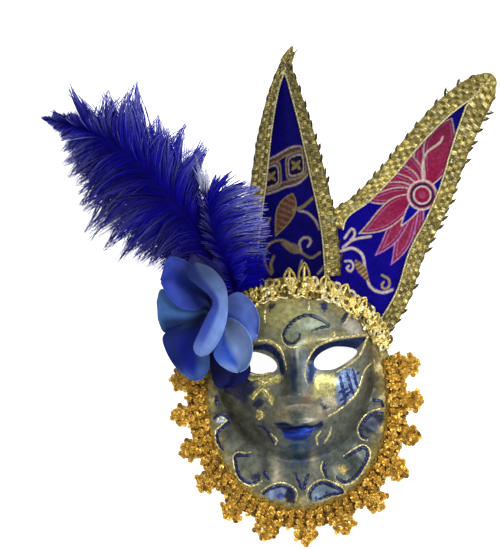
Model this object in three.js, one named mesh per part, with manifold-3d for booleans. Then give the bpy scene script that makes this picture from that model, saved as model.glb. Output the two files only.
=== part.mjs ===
// Carnival mask of the jester kind, lying on its back with the face up.
// A slip-cast ceramic face with a fluted collar carries two brocade points, gold gimp braid,
// scalloped gold lace, a silk flower and blue feathers.
// Millimetres. +X is the viewer's right, +Y runs from chin to forehead, +Z comes out of the face.
// While it is being modelled the mask has x = 0 on the nose, y = 0 on the eye line and z = 0 on the table.

import * as THREE from 'three';
import { mergeVertices } from 'three/addons/utils/BufferGeometryUtils.js';
import Module from 'manifold-3d';

const wasm = await Module();
wasm.setup();

// Driving dimensions of the ceramic shell
const POLE_Y = -35;            // centre that the rim is measured from, on the upper lip
const RIM_SIDE = 84;           // rim radius at the sides of the collar
const RIM_TOP = 102;           // rim radius at the top of the forehead
const RIM_BOTTOM = 100;        // rim radius at the bottom of the collar
const RIM_TOP_POWER = 1.6;     // how square the forehead is
const WALL = 3.6;              // ceramic wall
const COLLAR_EDGE = 8;         // height of the collar's front edge over the table
const FOREHEAD_EDGE = 12.5;    // height of the forehead's front edge
const FOREHEAD_FOOT = 3.2;     // gap under the forehead where the points tuck in
const FOREHEAD_FROM = 26;      // degrees from the side where the forehead's front edge starts to rise
const FOREHEAD_FULL = 46;      // and where it is at its full height
const FOOT_FROM = 16;          // degrees from the side where the rim's foot starts to lift
const FOOT_FULL = 27;          // and where it is fully lifted
const COLLAR_RISE = 7;         // rise of the collar from its edge to the jaw
const FLUTES = 17;             // flutes round a full turn of the collar
const FLUTE_DEPTH = 2.4;
const FLUTE_FROM = 0.6;        // share of the rim radius where the flutes start
const FLUTE_FULL = 0.8;        // where they are deepest
const FLUTE_END = 0.93;        // where they end, under the lace
const FACE_HALF_WIDTH = 68;
const FACE_CENTRE_Y = -8;
const FACE_UP = 84;            // from the face's centre to its upper end
const FACE_DOWN = 80;          // from the face's centre to the chin
const FACE_DEPTH = 43;
const FACE_COLLAR_BLEND = 7;   // softness of the line between jaw and collar

// Driving dimensions of the eye openings
const EYE_X = 33.5;
const EYE_INNER = 18;          // from the eye's centre to its inner corner
const EYE_OUTER = 20;          // from the eye's centre to its outer corner
const EYE_RISE = 9.5;          // height of the upper lid
const EYE_DROP = 9;            // depth of the lower lid
const EYE_SLANT = 3.5;         // lift of the outer corner
const EYE_SIDES = 22;

// Nose and mouth
const NOSE_ROOT_Y = 12;
const NOSE_TIP_Y = -29;
const NOSE_ROOT_HEIGHT = 3;
const NOSE_TIP_HEIGHT = 18.5;
const NOSE_ROOT_HALF_WIDTH = 7;
const NOSE_TIP_HALF_WIDTH = 10.5;
const NOSE_ROUNDNESS = 2.3;
const NOSE_UNDERSIDE = 8;
const MOUTH_Y = -57;
const MOUTH_HALF_WIDTH = 23;
const MOUTH_LINE_DEPTH = 2;
const MOUTH_LINE_HALF_WIDTH = 1.7;

// Soft rises and hollows of the face. Rows off the nose line are repeated on both sides.
const FACE_FORMS = [
  { form: 'brow', x: 28, y: 15, halfWidth: 19, halfHeight: 7, height: 3.4 },
  { form: 'between the brows', x: 0, y: 14, halfWidth: 10, halfHeight: 9, height: 1.6 },
  { form: 'eye socket', x: 33, y: 0, halfWidth: 20, halfHeight: 12, height: -7 },
  { form: 'cheek', x: 39, y: -26, halfWidth: 17, halfHeight: 15, height: 4.5 },
  { form: 'side of the mouth', x: 29, y: -52, halfWidth: 9, halfHeight: 15, height: -2.6 },
  { form: 'muzzle', x: 0, y: -54, halfWidth: 24, halfHeight: 15, height: 4.6 },
  { form: 'nose tip', x: 0, y: -27, halfWidth: 8, halfHeight: 8, height: 2.5 },
  { form: 'nostril wing', x: 11, y: -31, halfWidth: 5.5, halfHeight: 5.5, height: 5 },
  { form: 'upper lip', x: 7, y: -53.4, halfWidth: 11, halfHeight: 3.2, height: 2.1 },
  { form: 'lower lip', x: 0, y: -61.6, halfWidth: 14, halfHeight: 4, height: 3.6 },
  { form: 'under the lip', x: 0, y: -70, halfWidth: 15, halfHeight: 4.5, height: -2.6 },
  { form: 'chin', x: 0, y: -79, halfWidth: 14, halfHeight: 9, height: 6.4 },
];

// Shell mesh density
const SHELL_SPOKES = 52;
const SHELL_RINGS = 19;
const CAVITY_RINGS = 6;
const RING_CROWDING = 0.94;    // below 1 the rings crowd towards the rim

// The points: edge stations from the base, under the forehead, to the tip
const LEFT_HORN_ROWS = [
  { leftX: -42, leftY: 55, rightX: 39, rightY: 56 },
  { leftX: -35, leftY: 105, rightX: 38.5, rightY: 108 },
  { leftX: -25.5, leftY: 153, rightX: 34, rightY: 155 },
  { leftX: -16, leftY: 197, rightX: 26.5, rightY: 197 },
  { leftX: -4.5, leftY: 233, rightX: 18.5, rightY: 236 },
  { leftX: 10, leftY: 262, rightX: 14.5, rightY: 262 },
];
const RIGHT_HORN_ROWS = [
  { leftX: 40, leftY: 56, rightX: 78, rightY: 13 },
  { leftX: 39.8, leftY: 92, rightX: 100, rightY: 45 },
  { leftX: 41.5, leftY: 121, rightX: 115, rightY: 82 },
  { leftX: 63, leftY: 136, rightX: 130, rightY: 107 },
  { leftX: 87, leftY: 158, rightX: 143, rightY: 132 },
  { leftX: 112, leftY: 185, rightX: 157, rightY: 165 },
  { leftX: 144, leftY: 215, rightX: 171, rightY: 193 },
  { leftX: 172, leftY: 231, rightX: 184, rightY: 218 },
  { leftX: 180, leftY: 231, rightX: 184, rightY: 226 },
];
const HORN_THICKNESS = 2.4;
const HORN_BASE_TOP = 2.7;     // upper face of the card where it passes under the forehead
const HORN_TIP_LIFT = 9;
const HORN_BOW = 8;            // crown of the card across its width
const HORN_BOW_FROM = 0.08;    // share of the length where the crown starts and is full
const HORN_BOW_FULL = 0.4;
const HORN_STEPS = 11;
const HORN_STEPS_ACROSS = 8;

// Gimp braid on the edges of the points
const BRAID_INSIDE = 10.5;     // width over the brocade
const BRAID_OUTSIDE = 2.6;     // width past the edge
const BRAID_THICKNESS = 2.4;
const BRAID_GROOVE = 0.9;      // groove between its two rows of loops
const BRAID_STEPS = 12;
const BRAID_SLIT = 0.4;        // half of the gap between the two braids at a tip
const SEAT_GAP = 0.5;          // glue line under a trim
const RIM_FOLD = 1;            // where a trim bends down, past the edge of the shell

// Scroll gimp over the join of forehead and points
const BROW_BRAID_END = 26.5;   // degrees from the side where it ends
const BROW_BRAID_INSIDE = 8;
const BROW_BRAID_OUTSIDE = 6.5;
const BROW_BRAID_THICKNESS = 3.8;
const BROW_BRAID_GAP = 0.7;
const BROW_SCROLLS = 12;
const BROW_SCROLL_WAVE = 2.6;
const BROW_STEPS_A_SCROLL = 4;
const BROW_DROOP = 0.45;       // fall of its outer half, in millimetres a millimetre

// Scalloped lace round the collar
const LACE_SCALLOPS = 13;
const LACE_PITCH = 17.7;       // degrees
const LACE_INSIDE = 7;
const LACE_BAND = 8;           // plain band past the edge
const LACE_SCALLOP = 14;       // length of a scallop past the band
const LACE_SCALLOP_POWER = 0.6;
const LACE_THICKNESS = 2;
const LACE_GAP = 0.6;
const LACE_FALL = 0.22;
const LACE_STEPS_A_SCALLOP = 6;
const LACE_ROWS = 2;
// Gaps in one scallop: offset along the lace as a share of the pitch, radius past the rim, gap radius
const LACE_GAPS = [
  { share: 0, past: 15.5, radius: 2.6 },
  { share: -0.22, past: 7, radius: 2.1 },
  { share: 0.22, past: 7, radius: 2.1 },
];
const GAP_SIDES = 4;

// Silk flower at the left temple
const FLOWER_X = -68;
const FLOWER_Y = 40;
const FLOWER_SEAT = 18.8;      // height of its base over the table
const FLOWER_BASE_RADIUS = 10;
const FLOWER_BASE_HEIGHT = 3;
const PETAL_THICKNESS = 1.2;
const PETAL_STEPS = 4;
const PETAL_STEPS_ACROSS = 4;
const OUTER_HUB_RADIUS = 8;
const OUTER_HUB_HEIGHT = 2.4;
const INNER_HUB_RADIUS = 4;
const INNER_HUB_HEIGHT = 7;
const PETAL_FOOT = 2;          // depth of a petal's foot in its hub
const OUTER_PETALS = [
  { azimuth: 86, tilt: 22, length: 52, width: 42, cup: 6, curl: 4 },
  { azimuth: 142, tilt: 12, length: 50, width: 44, cup: 7, curl: 4 },
  { azimuth: 200, tilt: 6, length: 46, width: 46, cup: 7, curl: 5 },
  { azimuth: 256, tilt: 21, length: 62, width: 46, cup: 6, curl: 3 },
  { azimuth: 312, tilt: 42, length: 52, width: 42, cup: 7, curl: 5 },
  { azimuth: 14, tilt: 40, length: 46, width: 40, cup: 6, curl: 5 },
];
const INNER_PETALS = [
  { azimuth: 46, tilt: 52, length: 48, width: 40, cup: 7, curl: 4 },
  { azimuth: 124, tilt: 32, length: 46, width: 40, cup: 8, curl: 6 },
  { azimuth: 214, tilt: 28, length: 42, width: 40, cup: 8, curl: 6 },
  { azimuth: 298, tilt: 54, length: 50, width: 42, cup: 7, curl: 4 },
];

// Feathers: the quills from their glued ends outwards
const PLUME_MAIN_QUILL = [
  { x: -51, y: 51, z: 19.6 },
  { x: -60, y: 84, z: 19 },
  { x: -75, y: 117, z: 21 },
  { x: -94, y: 146, z: 25 },
  { x: -126, y: 181, z: 28 },
  { x: -162, y: 206, z: 28 },
  { x: -186, y: 215, z: 25 },
];
const PLUME_SIDE_QUILL = [
  { x: -44, y: 57, z: 19.4 },
  { x: -45, y: 84, z: 25 },
  { x: -49, y: 112, z: 30 },
  { x: -48, y: 140, z: 33 },
];
// Locks of barbs: place on the quill as a share, then length and lean from the quill on either side
const PLUME_MAIN_LOCKS = [
  { share: 0.25, leftLength: 42, leftLean: 82, rightLength: 40, rightLean: 44 },
  { share: 0.35, leftLength: 62, leftLean: 80, rightLength: 58, rightLean: 48 },
  { share: 0.45, leftLength: 74, leftLean: 74, rightLength: 70, rightLean: 46 },
  { share: 0.55, leftLength: 74, leftLean: 64, rightLength: 76, rightLean: 42 },
  { share: 0.65, leftLength: 68, leftLean: 55, rightLength: 76, rightLean: 38 },
  { share: 0.75, leftLength: 58, leftLean: 46, rightLength: 68, rightLean: 34 },
  { share: 0.86, leftLength: 44, leftLean: 36, rightLength: 54, rightLean: 28 },
  { share: 0.97, leftLength: 28, leftLean: 14, rightLength: 38, rightLean: 14 },
];
const PLUME_SIDE_LOCKS = [
  { share: 0.42, leftLength: 22, leftLean: 36, rightLength: 32, rightLean: 76 },
  { share: 0.68, leftLength: 26, leftLean: 28, rightLength: 38, rightLean: 62 },
  { share: 0.95, leftLength: 24, leftLean: 14, rightLength: 34, rightLean: 38 },
];
const QUILL_RADIUS = 1.7;
const QUILL_SIDES = 5;
const QUILL_STEPS = 8;
const LOCK_HALF_WIDTH = 11;
const LOCK_HALF_THICKNESS = 2.4;
const LOCK_BEND = 22;          // degrees that a lock bends back towards the tip of the quill
const LOCK_LIFT = 5;           // locks rise and fall by turns
const LOCK_STEPS = 3;

const PAINTED_CERAMIC = { color: 0x8a8a72, roughness: 0.4, metalness: 0.35 };
const GOLD_BRAID = { color: 0xa8964a, roughness: 0.45, metalness: 0.6 };
const GOLD_LACE = { color: 0xc08a2a, roughness: 0.45, metalness: 0.6 };
const BROCADE = { color: 0x1a1466, roughness: 0.6, metalness: 0 };

const RADIAN = Math.PI / 180;
const { lerp, clamp, smoothstep } = THREE.MathUtils;

// Meshes and solids

function namedMesh(name, geometry, finish) {
  geometry.computeVertexNormals();
  const mesh = new THREE.Mesh(geometry, new THREE.MeshStandardMaterial(finish));
  mesh.name = name;
  return mesh;
}

function geometryOf(points, triangles) {
  const geometry = new THREE.BufferGeometry();
  const places = points.flatMap(({ x, y, z }) => [x, y, z]);
  geometry.setAttribute('position', new THREE.Float32BufferAttribute(places, 3));
  geometry.setIndex(triangles);
  return geometry;
}

function solidOf(geometry) {
  const bare = geometry.clone();
  bare.deleteAttribute('normal');
  bare.deleteAttribute('uv');
  const welded = mergeVertices(bare, 1e-4);
  return new wasm.Manifold(new wasm.Mesh({
    numProp: 3,
    vertProperties: new Float32Array(welded.attributes.position.array),
    triVerts: new Uint32Array(welded.index.array),
  }));
}

function geometryOfSolid(solid) {
  const mesh = solid.getMesh();
  const geometry = new THREE.BufferGeometry();
  geometry.setAttribute('position', new THREE.Float32BufferAttribute(mesh.vertProperties, 3));
  geometry.setIndex(Array.from(mesh.triVerts));
  return geometry;
}

// A closed sheet between two grids of points with the same rows and columns
function sheet(front, back) {
  const rows = front.length;
  const columns = front[0].length;
  const points = [...front.flat(), ...back.flat()];
  const triangles = [];
  const place = (row, column, side) => side * rows * columns + row * columns + column;
  const quad = (a, b, c, d) => triangles.push(a, b, c, a, c, d);
  for (let row = 0; row < rows - 1; row++) {
    for (let column = 0; column < columns - 1; column++) {
      const corners = [[row, column], [row + 1, column], [row + 1, column + 1], [row, column + 1]];
      quad(...corners.map(([r, c]) => place(r, c, 0)));
      quad(...corners.reverse().map(([r, c]) => place(r, c, 1)));
    }
  }
  const edge = [];
  for (let row = 0; row < rows - 1; row++) edge.push([row, 0]);
  for (let column = 0; column < columns - 1; column++) edge.push([rows - 1, column]);
  for (let row = rows - 1; row > 0; row--) edge.push([row, columns - 1]);
  for (let column = columns - 1; column > 0; column--) edge.push([0, column]);
  edge.forEach((here, i) => {
    const next = edge[(i + 1) % edge.length];
    quad(place(...next, 0), place(...here, 0), place(...here, 1), place(...next, 1));
  });
  return geometryOf(points, triangles);
}

// A grid of points from a function of two shares, each from 0 to 1
function grid(rows, columns, point) {
  return Array.from({ length: rows + 1 }, (_, row) => Array.from({ length: columns + 1 },
    (__, column) => point(row / rows, column / columns)));
}

// A closed body through rings of points that all have the same count
function loft(rings) {
  const count = rings[0].length;
  const triangles = [];
  rings.slice(1).forEach((_, ring) => {
    for (let i = 0; i < count; i++) {
      const a = ring * count + i;
      const b = ring * count + (i + 1) % count;
      triangles.push(a, b, b + count, a, b + count, a + count);
    }
  });
  const last = (rings.length - 1) * count;
  for (let i = 1; i < count - 1; i++) {
    triangles.push(0, i + 1, i);
    triangles.push(last, last + i, last + i + 1);
  }
  return geometryOf(rings.flat(), triangles);
}

// The ceramic shell

function rimRadius(angle) {
  const rise = Math.abs(Math.sin(angle));
  if (Math.sin(angle) > 0) return lerp(RIM_SIDE, RIM_TOP, rise ** RIM_TOP_POWER);
  return lerp(RIM_SIDE, RIM_BOTTOM, rise ** 2);
}

// Degrees above the line from side to side, for either side of the face
function degreesUp(angle) {
  return Math.asin(Math.sin(angle)) / RADIAN;
}

function rimFoot(angle) {
  return FOREHEAD_FOOT * smoothstep(degreesUp(angle), FOOT_FROM, FOOT_FULL);
}

function bump(x, y, row) {
  const across = (x - row.x) / row.halfWidth;
  const up = (y - row.y) / row.halfHeight;
  return row.height * Math.exp(-across * across - up * up);
}

// The bridge rises from between the eyes to the tip, then the underside falls to the lip
function noseHeight(x, y) {
  const along = clamp((NOSE_ROOT_Y - y) / (NOSE_ROOT_Y - NOSE_TIP_Y), 0, 1);
  const halfWidth = lerp(NOSE_ROOT_HALF_WIDTH, NOSE_TIP_HALF_WIDTH, along);
  const height = lerp(NOSE_ROOT_HEIGHT, NOSE_TIP_HEIGHT, along);
  const root = 1 - smoothstep(y, NOSE_ROOT_Y - 8, NOSE_ROOT_Y + 14);
  const underside = smoothstep(y, NOSE_TIP_Y - NOSE_UNDERSIDE, NOSE_TIP_Y + 2);
  return height * Math.exp(-(Math.abs(x / halfWidth) ** NOSE_ROUNDNESS)) * root * underside;
}

function mouthLine(x, y) {
  const reach = 1 - smoothstep(Math.abs(x), MOUTH_HALF_WIDTH - 6, MOUTH_HALF_WIDTH + 3);
  const off = (y - MOUTH_Y - 0.004 * x * x) / MOUTH_LINE_HALF_WIDTH;
  return MOUTH_LINE_DEPTH * reach * Math.exp(-off * off);
}

// Height of the front of the shell over the table
function frontHeight(x, y) {
  const angle = Math.atan2(y - POLE_Y, x);
  const share = Math.hypot(x, y - POLE_Y) / rimRadius(angle);
  const forehead = smoothstep(degreesUp(angle), FOREHEAD_FROM, FOREHEAD_FULL);
  const edge = lerp(COLLAR_EDGE, FOREHEAD_EDGE, forehead);
  const fluted = smoothstep(share, FLUTE_FROM, FLUTE_FULL) - smoothstep(share, FLUTE_FULL, FLUTE_END);
  const flute = FLUTE_DEPTH * fluted * (1 - forehead) * Math.cos(FLUTES * (angle + Math.PI / 2));
  const collar = edge + COLLAR_RISE * (1 - share) + flute;

  const reach = y > FACE_CENTRE_Y ? FACE_UP : FACE_DOWN;
  const off = Math.hypot(x / FACE_HALF_WIDTH, (y - FACE_CENTRE_Y) / reach);
  const crown = Math.max(0, 1 - off ** 2.4);
  let face = FACE_DEPTH * crown ** 0.62;
  const fade = smoothstep(crown, 0, 0.3);
  for (const row of FACE_FORMS) {
    face += fade * bump(x, y, row);
    if (row.x !== 0) face += fade * bump(-x, y, row);
  }
  face += noseHeight(x, y) - mouthLine(x, y);
  const apart = face - collar;
  return (face + collar + Math.sqrt(apart * apart + FACE_COLLAR_BLEND ** 2)) / 2;
}

// Height of the cavity: the front set back by the wall, square to the surface
function cavityHeight(x, y) {
  let height = frontHeight(x, y) - WALL;
  for (const share of [0.45, 0.85]) {
    const reach = WALL * share;
    const drop = Math.sqrt(WALL * WALL - reach * reach);
    for (let turn = 0; turn < 8; turn++) {
      const angle = turn * Math.PI / 4;
      height = Math.min(height, frontHeight(x + reach * Math.cos(angle), y + reach * Math.sin(angle)) - drop);
    }
  }
  return height;
}

function shellGeometry() {
  const points = [];
  const triangles = [];
  const onSpoke = (angle, radius, height) => {
    const x = radius * Math.cos(angle);
    const y = POLE_Y + radius * Math.sin(angle);
    return new THREE.Vector3(x, y, height(x, y, angle));
  };
  const addRing = (radiusAt, height) => {
    const start = points.length;
    for (let spoke = 0; spoke < SHELL_SPOKES; spoke++) {
      const angle = spoke * 2 * Math.PI / SHELL_SPOKES;
      points.push(onSpoke(angle, radiusAt(angle), height));
    }
    return start;
  };
  const bridge = (outer, inner) => {
    for (let spoke = 0; spoke < SHELL_SPOKES; spoke++) {
      const next = (spoke + 1) % SHELL_SPOKES;
      triangles.push(outer + spoke, outer + next, inner + next, outer + spoke, inner + next, inner + spoke);
    }
  };
  const closeAtPole = (ring, height, faceUp) => {
    const pole = points.length;
    points.push(onSpoke(0, 0, height));
    for (let spoke = 0; spoke < SHELL_SPOKES; spoke++) {
      const next = (spoke + 1) % SHELL_SPOKES;
      triangles.push(...(faceUp ? [ring + spoke, ring + next, pole] : [ring + next, ring + spoke, pole]));
    }
  };
  const front = (x, y) => frontHeight(x, y);
  const cavity = (x, y, angle) => Math.max(cavityHeight(x, y), rimFoot(angle) + 0.5);

  let ring = 0;
  for (let i = 1; i <= SHELL_RINGS; i++) {
    const share = (i / SHELL_RINGS) ** RING_CROWDING;
    const next = addRing((angle) => share * rimRadius(angle), front);
    if (i === 1) closeAtPole(next, front, true);
    else bridge(next, ring);
    ring = next;
  }
  const outerFoot = addRing(rimRadius, (x, y, angle) => rimFoot(angle));
  bridge(outerFoot, ring);
  const innerFoot = addRing((angle) => rimRadius(angle) - WALL, (x, y, angle) => rimFoot(angle));
  bridge(innerFoot, outerFoot);
  ring = innerFoot;
  for (let i = CAVITY_RINGS; i >= 1; i--) {
    const share = i / CAVITY_RINGS;
    const next = addRing((angle) => share * (rimRadius(angle) - WALL), cavity);
    bridge(next, ring);
    ring = next;
  }
  closeAtPole(ring, cavity, false);
  return geometryOf(points, triangles);
}

// Almond outline of the eye on the viewer's right, with its outer corner swept up
function eyeShape(side) {
  const outline = [];
  for (let i = 0; i < EYE_SIDES; i++) {
    const angle = i * 2 * Math.PI / EYE_SIDES;
    const across = Math.cos(angle);
    const reach = across > 0 ? EYE_OUTER : EYE_INNER;
    const lid = Math.sin(angle) > 0 ? EYE_RISE : EYE_DROP;
    const taper = across > 0 ? 1 - 0.35 * across : 1;
    const y = lid * Math.sin(angle) * taper + EYE_SLANT * across;
    outline.push(new THREE.Vector2(side * (EYE_X + reach * across), y));
  }
  return new THREE.Shape(side > 0 ? outline : outline.reverse());
}

function faceShell() {
  let shell = solidOf(shellGeometry());
  for (const side of [1, -1]) {
    const hole = new THREE.ExtrudeGeometry(eyeShape(side), { depth: 100, bevelEnabled: false, steps: 1 });
    shell = shell.subtract(solidOf(hole));
  }
  return namedMesh('face_shell', geometryOfSolid(shell), PAINTED_CERAMIC);
}

// The brocade points

function makeHorn(rows) {
  const edge = (side) => new THREE.CatmullRomCurve3(
    rows.map((row) => new THREE.Vector3(row[`${side}X`], row[`${side}Y`], 0)), false, 'centripetal');
  const left = edge('left');
  const right = edge('right');
  const top = (along, across) => {
    const bow = HORN_BOW * smoothstep(along, HORN_BOW_FROM, HORN_BOW_FULL) * Math.sqrt(1 - along);
    const inside = clamp(across, 0, 1);
    const crown = bow * Math.sin(Math.PI * inside) ** 2;
    const point = new THREE.Vector3().lerpVectors(left.getPoint(along), right.getPoint(along), across);
    point.z = HORN_BASE_TOP + HORN_TIP_LIFT * along * along + crown;
    return point;
  };
  const width = (along) => left.getPoint(along).distanceTo(right.getPoint(along));
  return { top, width };
}

const lowered = (point, by) => new THREE.Vector3(point.x, point.y, point.z - by);

function hornPanel(name, horn) {
  const front = grid(HORN_STEPS_ACROSS, HORN_STEPS, (across, along) => horn.top(along, across));
  const back = front.map((row) => row.map((point) => lowered(point, HORN_THICKNESS)));
  return namedMesh(name, sheet(front, back), BROCADE);
}

// Braid along one edge, from a share of the length to the tip, in two rows of loops with a groove between
function hornBraid(name, horn, side, from) {
  const profile = [
    { share: 0, rise: 0.55 },
    { share: 0.25, rise: 1 },
    { share: 0.5, rise: 1 - BRAID_GROOVE / BRAID_THICKNESS },
    { share: 0.75, rise: 1 },
    { share: 1, rise: 0.55 },
  ];
  const point = (rise) => (column, along) => {
    const { share, rise: height } = profile[Math.round(column * (profile.length - 1))];
    const station = lerp(from, 1, along);
    const width = horn.width(station);
    const inside = Math.min(BRAID_INSIDE, width / 2 - BRAID_SLIT);
    const distance = side === 'left'
      ? lerp(-BRAID_OUTSIDE, inside, share)
      : lerp(width - inside, width + BRAID_OUTSIDE, share);
    const seat = horn.top(station, distance / width);
    return lowered(seat, -(SEAT_GAP + rise * height * BRAID_THICKNESS));
  };
  const columns = profile.length - 1;
  const front = grid(columns, BRAID_STEPS, point(1));
  const back = grid(columns, BRAID_STEPS, point(0));
  return namedMesh(name, sheet(front, back), GOLD_BRAID);
}

// Trim that follows the rim of the shell

// A point over the shell's rim. Past the rim the trim falls away from the edge.
function overRim(angle, past, gap, fall) {
  const rim = rimRadius(angle);
  const radius = rim + past;
  const seatRadius = Math.min(radius, rim - 0.2);
  const seat = frontHeight(seatRadius * Math.cos(angle), POLE_Y + seatRadius * Math.sin(angle));
  const height = seat + gap - fall * Math.max(0, past);
  return new THREE.Vector3(radius * Math.cos(angle), POLE_Y + radius * Math.sin(angle), height);
}

// Distance past the rim for a share across a trim that folds over the edge
function pastRim(across, inside, outside) {
  return across < 0.5 ? lerp(-inside, RIM_FOLD, 2 * across) : lerp(RIM_FOLD, outside, 2 * across - 1);
}

function browBraid() {
  const start = (180 - BROW_BRAID_END) * RADIAN;
  const end = BROW_BRAID_END * RADIAN;
  const columns = BROW_SCROLLS * BROW_STEPS_A_SCROLL;
  const point = (rise) => (across, along) => {
    const wave = BROW_SCROLL_WAVE * Math.cos(2 * Math.PI * BROW_SCROLLS * along);
    const past = pastRim(across, BROW_BRAID_INSIDE + wave / 2, BROW_BRAID_OUTSIDE + wave);
    const crown = 0.5 + 0.5 * Math.sin(Math.PI * across);
    const height = BROW_BRAID_GAP + rise * crown * BROW_BRAID_THICKNESS;
    return overRim(lerp(start, end, along), past, height, BROW_DROOP);
  };
  return namedMesh('brow_braid', sheet(grid(2, columns, point(0)), grid(2, columns, point(1))), GOLD_BRAID);
}

function collarLace() {
  const bottom = -90 * RADIAN;
  const pitch = LACE_PITCH * RADIAN;
  const half = LACE_SCALLOPS / 2;
  const point = (rise) => (across, along) => {
    const turn = lerp(-half, half, along);
    const scallop = LACE_SCALLOP * Math.abs(Math.cos(Math.PI * turn)) ** LACE_SCALLOP_POWER;
    const past = pastRim(across, LACE_INSIDE, LACE_BAND + scallop);
    return overRim(bottom + turn * pitch, past, LACE_GAP + rise * LACE_THICKNESS, LACE_FALL);
  };
  const columns = LACE_SCALLOPS * LACE_STEPS_A_SCALLOP;
  let lace = solidOf(sheet(grid(LACE_ROWS, columns, point(1)), grid(LACE_ROWS, columns, point(0))));
  for (let scallop = 0; scallop < LACE_SCALLOPS; scallop++) {
    for (const { share, past, radius } of LACE_GAPS) {
      const turn = scallop - (LACE_SCALLOPS - 1) / 2 + share;
      if (turn > half - 0.1) continue;
      const angle = bottom + turn * pitch;
      const gap = new THREE.CylinderGeometry(radius, radius, 60, GAP_SIDES);
      gap.rotateX(Math.PI / 2);
      const distance = rimRadius(angle) + past;
      gap.translate(distance * Math.cos(angle), POLE_Y + distance * Math.sin(angle), 0);
      lace = lace.subtract(solidOf(gap));
    }
  }
  return namedMesh('collar_lace', geometryOfSolid(lace), GOLD_LACE);
}

// The silk flower

// A petal that leaves its hub narrow, ends round, is cupped across and curls up at its end
function petalGeometry({ azimuth, tilt, length, width, cup, curl }, foot) {
  const point = (rise) => (across, along) => {
    const half = width / 2 * (0.16 + 0.84 * Math.sin(Math.PI * 0.88 * along ** 0.9));
    const side = 2 * across - 1;
    const out = length * along * (1 - 0.12 * side * side * along);
    const up = cup * side * side * along + curl * along ** 3 + rise * PETAL_THICKNESS;
    return new THREE.Vector3(out, side * half, up);
  };
  const under = grid(PETAL_STEPS_ACROSS, PETAL_STEPS, point(0));
  const over = grid(PETAL_STEPS_ACROSS, PETAL_STEPS, point(1));
  const petal = sheet(under, over);
  petal.rotateY(-tilt * RADIAN);
  petal.translate(foot.x, 0, foot.z);
  petal.rotateZ(azimuth * RADIAN);
  return petal;
}

function petalLayer(name, rows, hubRadius, hubHeight, lift, color) {
  const hub = new THREE.CylinderGeometry(hubRadius, hubRadius, hubHeight, 12);
  hub.rotateX(Math.PI / 2);
  hub.translate(0, 0, hubHeight / 2);
  const foot = new THREE.Vector3(hubRadius - PETAL_FOOT, 0, hubHeight - 1.8);
  let layer = solidOf(hub);
  for (const row of rows) layer = layer.add(solidOf(petalGeometry(row, foot)));
  const mesh = namedMesh(name, geometryOfSolid(layer), { color, roughness: 0.75, metalness: 0 });
  mesh.position.set(FLOWER_X, FLOWER_Y, lift);
  return mesh;
}

function flower() {
  const base = new THREE.CylinderGeometry(FLOWER_BASE_RADIUS, FLOWER_BASE_RADIUS, FLOWER_BASE_HEIGHT, 16);
  base.rotateX(Math.PI / 2);
  const seat = namedMesh('flower_base', base, { color: 0x1c2f86, roughness: 0.8, metalness: 0 });
  seat.position.set(FLOWER_X, FLOWER_Y, FLOWER_SEAT + FLOWER_BASE_HEIGHT / 2);
  const outerLift = FLOWER_SEAT + FLOWER_BASE_HEIGHT + SEAT_GAP;
  const innerLift = outerLift + OUTER_HUB_HEIGHT + SEAT_GAP;
  return [
    seat,
    petalLayer('flower_outer_petals', OUTER_PETALS, OUTER_HUB_RADIUS, OUTER_HUB_HEIGHT, outerLift, 0x2b4aa8),
    petalLayer('flower_inner_petals', INNER_PETALS, INNER_HUB_RADIUS, INNER_HUB_HEIGHT, innerLift, 0x6f93d2),
  ];
}

// The feathers

// A lock of barbs that leaves the quill at an angle, bends towards the quill's tip and thins to a point
function lockGeometry(root, heading, length, bend, lift) {
  const rings = [];
  const centre = root.clone();
  for (let step = 0; step <= LOCK_STEPS; step++) {
    const share = step / LOCK_STEPS;
    const angle = heading + bend * share;
    const across = new THREE.Vector3(-Math.sin(angle), Math.cos(angle), 0);
    const swell = 0.1 + 0.9 * Math.sin(Math.PI * (0.22 + 0.76 * share));
    const width = LOCK_HALF_WIDTH * swell;
    const thickness = LOCK_HALF_THICKNESS * swell;
    const sideways = across.multiplyScalar(width);
    const upwards = new THREE.Vector3(0, 0, thickness);
    rings.push([
      centre.clone().add(sideways),
      centre.clone().add(upwards),
      centre.clone().sub(sideways),
      centre.clone().sub(upwards),
    ]);
    const stride = length / LOCK_STEPS;
    centre.add(new THREE.Vector3(Math.cos(angle) * stride, Math.sin(angle) * stride, lift / LOCK_STEPS));
  }
  return loft(rings);
}

function plume(name, quillRows, lockRows, color) {
  const path = new THREE.CatmullRomCurve3(quillRows.map(({ x, y, z }) => new THREE.Vector3(x, y, z)));
  const circle = new THREE.Path().absarc(0, 0, QUILL_RADIUS, 0, 2 * Math.PI);
  const section = new THREE.Shape(circle.getPoints(QUILL_SIDES));
  const along = { extrudePath: path, steps: QUILL_STEPS, bevelEnabled: false };
  const quill = new THREE.ExtrudeGeometry(section, along);
  let solid = solidOf(quill);
  lockRows.forEach((row, i) => {
    const root = path.getPointAt(row.share);
    const ahead = path.getTangentAt(row.share);
    const heading = Math.atan2(ahead.y, ahead.x);
    const lift = i % 2 ? LOCK_LIFT : -LOCK_LIFT / 2;
    const bend = LOCK_BEND * RADIAN;
    const toLeft = heading + row.leftLean * RADIAN;
    const toRight = heading - row.rightLean * RADIAN;
    const left = lockGeometry(root, toLeft, row.leftLength, -bend, lift);
    const right = lockGeometry(root, toRight, row.rightLength, bend, LOCK_LIFT / 2 - lift);
    solid = solid.add(solidOf(left)).add(solidOf(right));
  });
  return namedMesh(name, geometryOfSolid(solid), { color, roughness: 0.9, metalness: 0 });
}

// The assembled mask, centred on its own box and standing on the table

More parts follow.
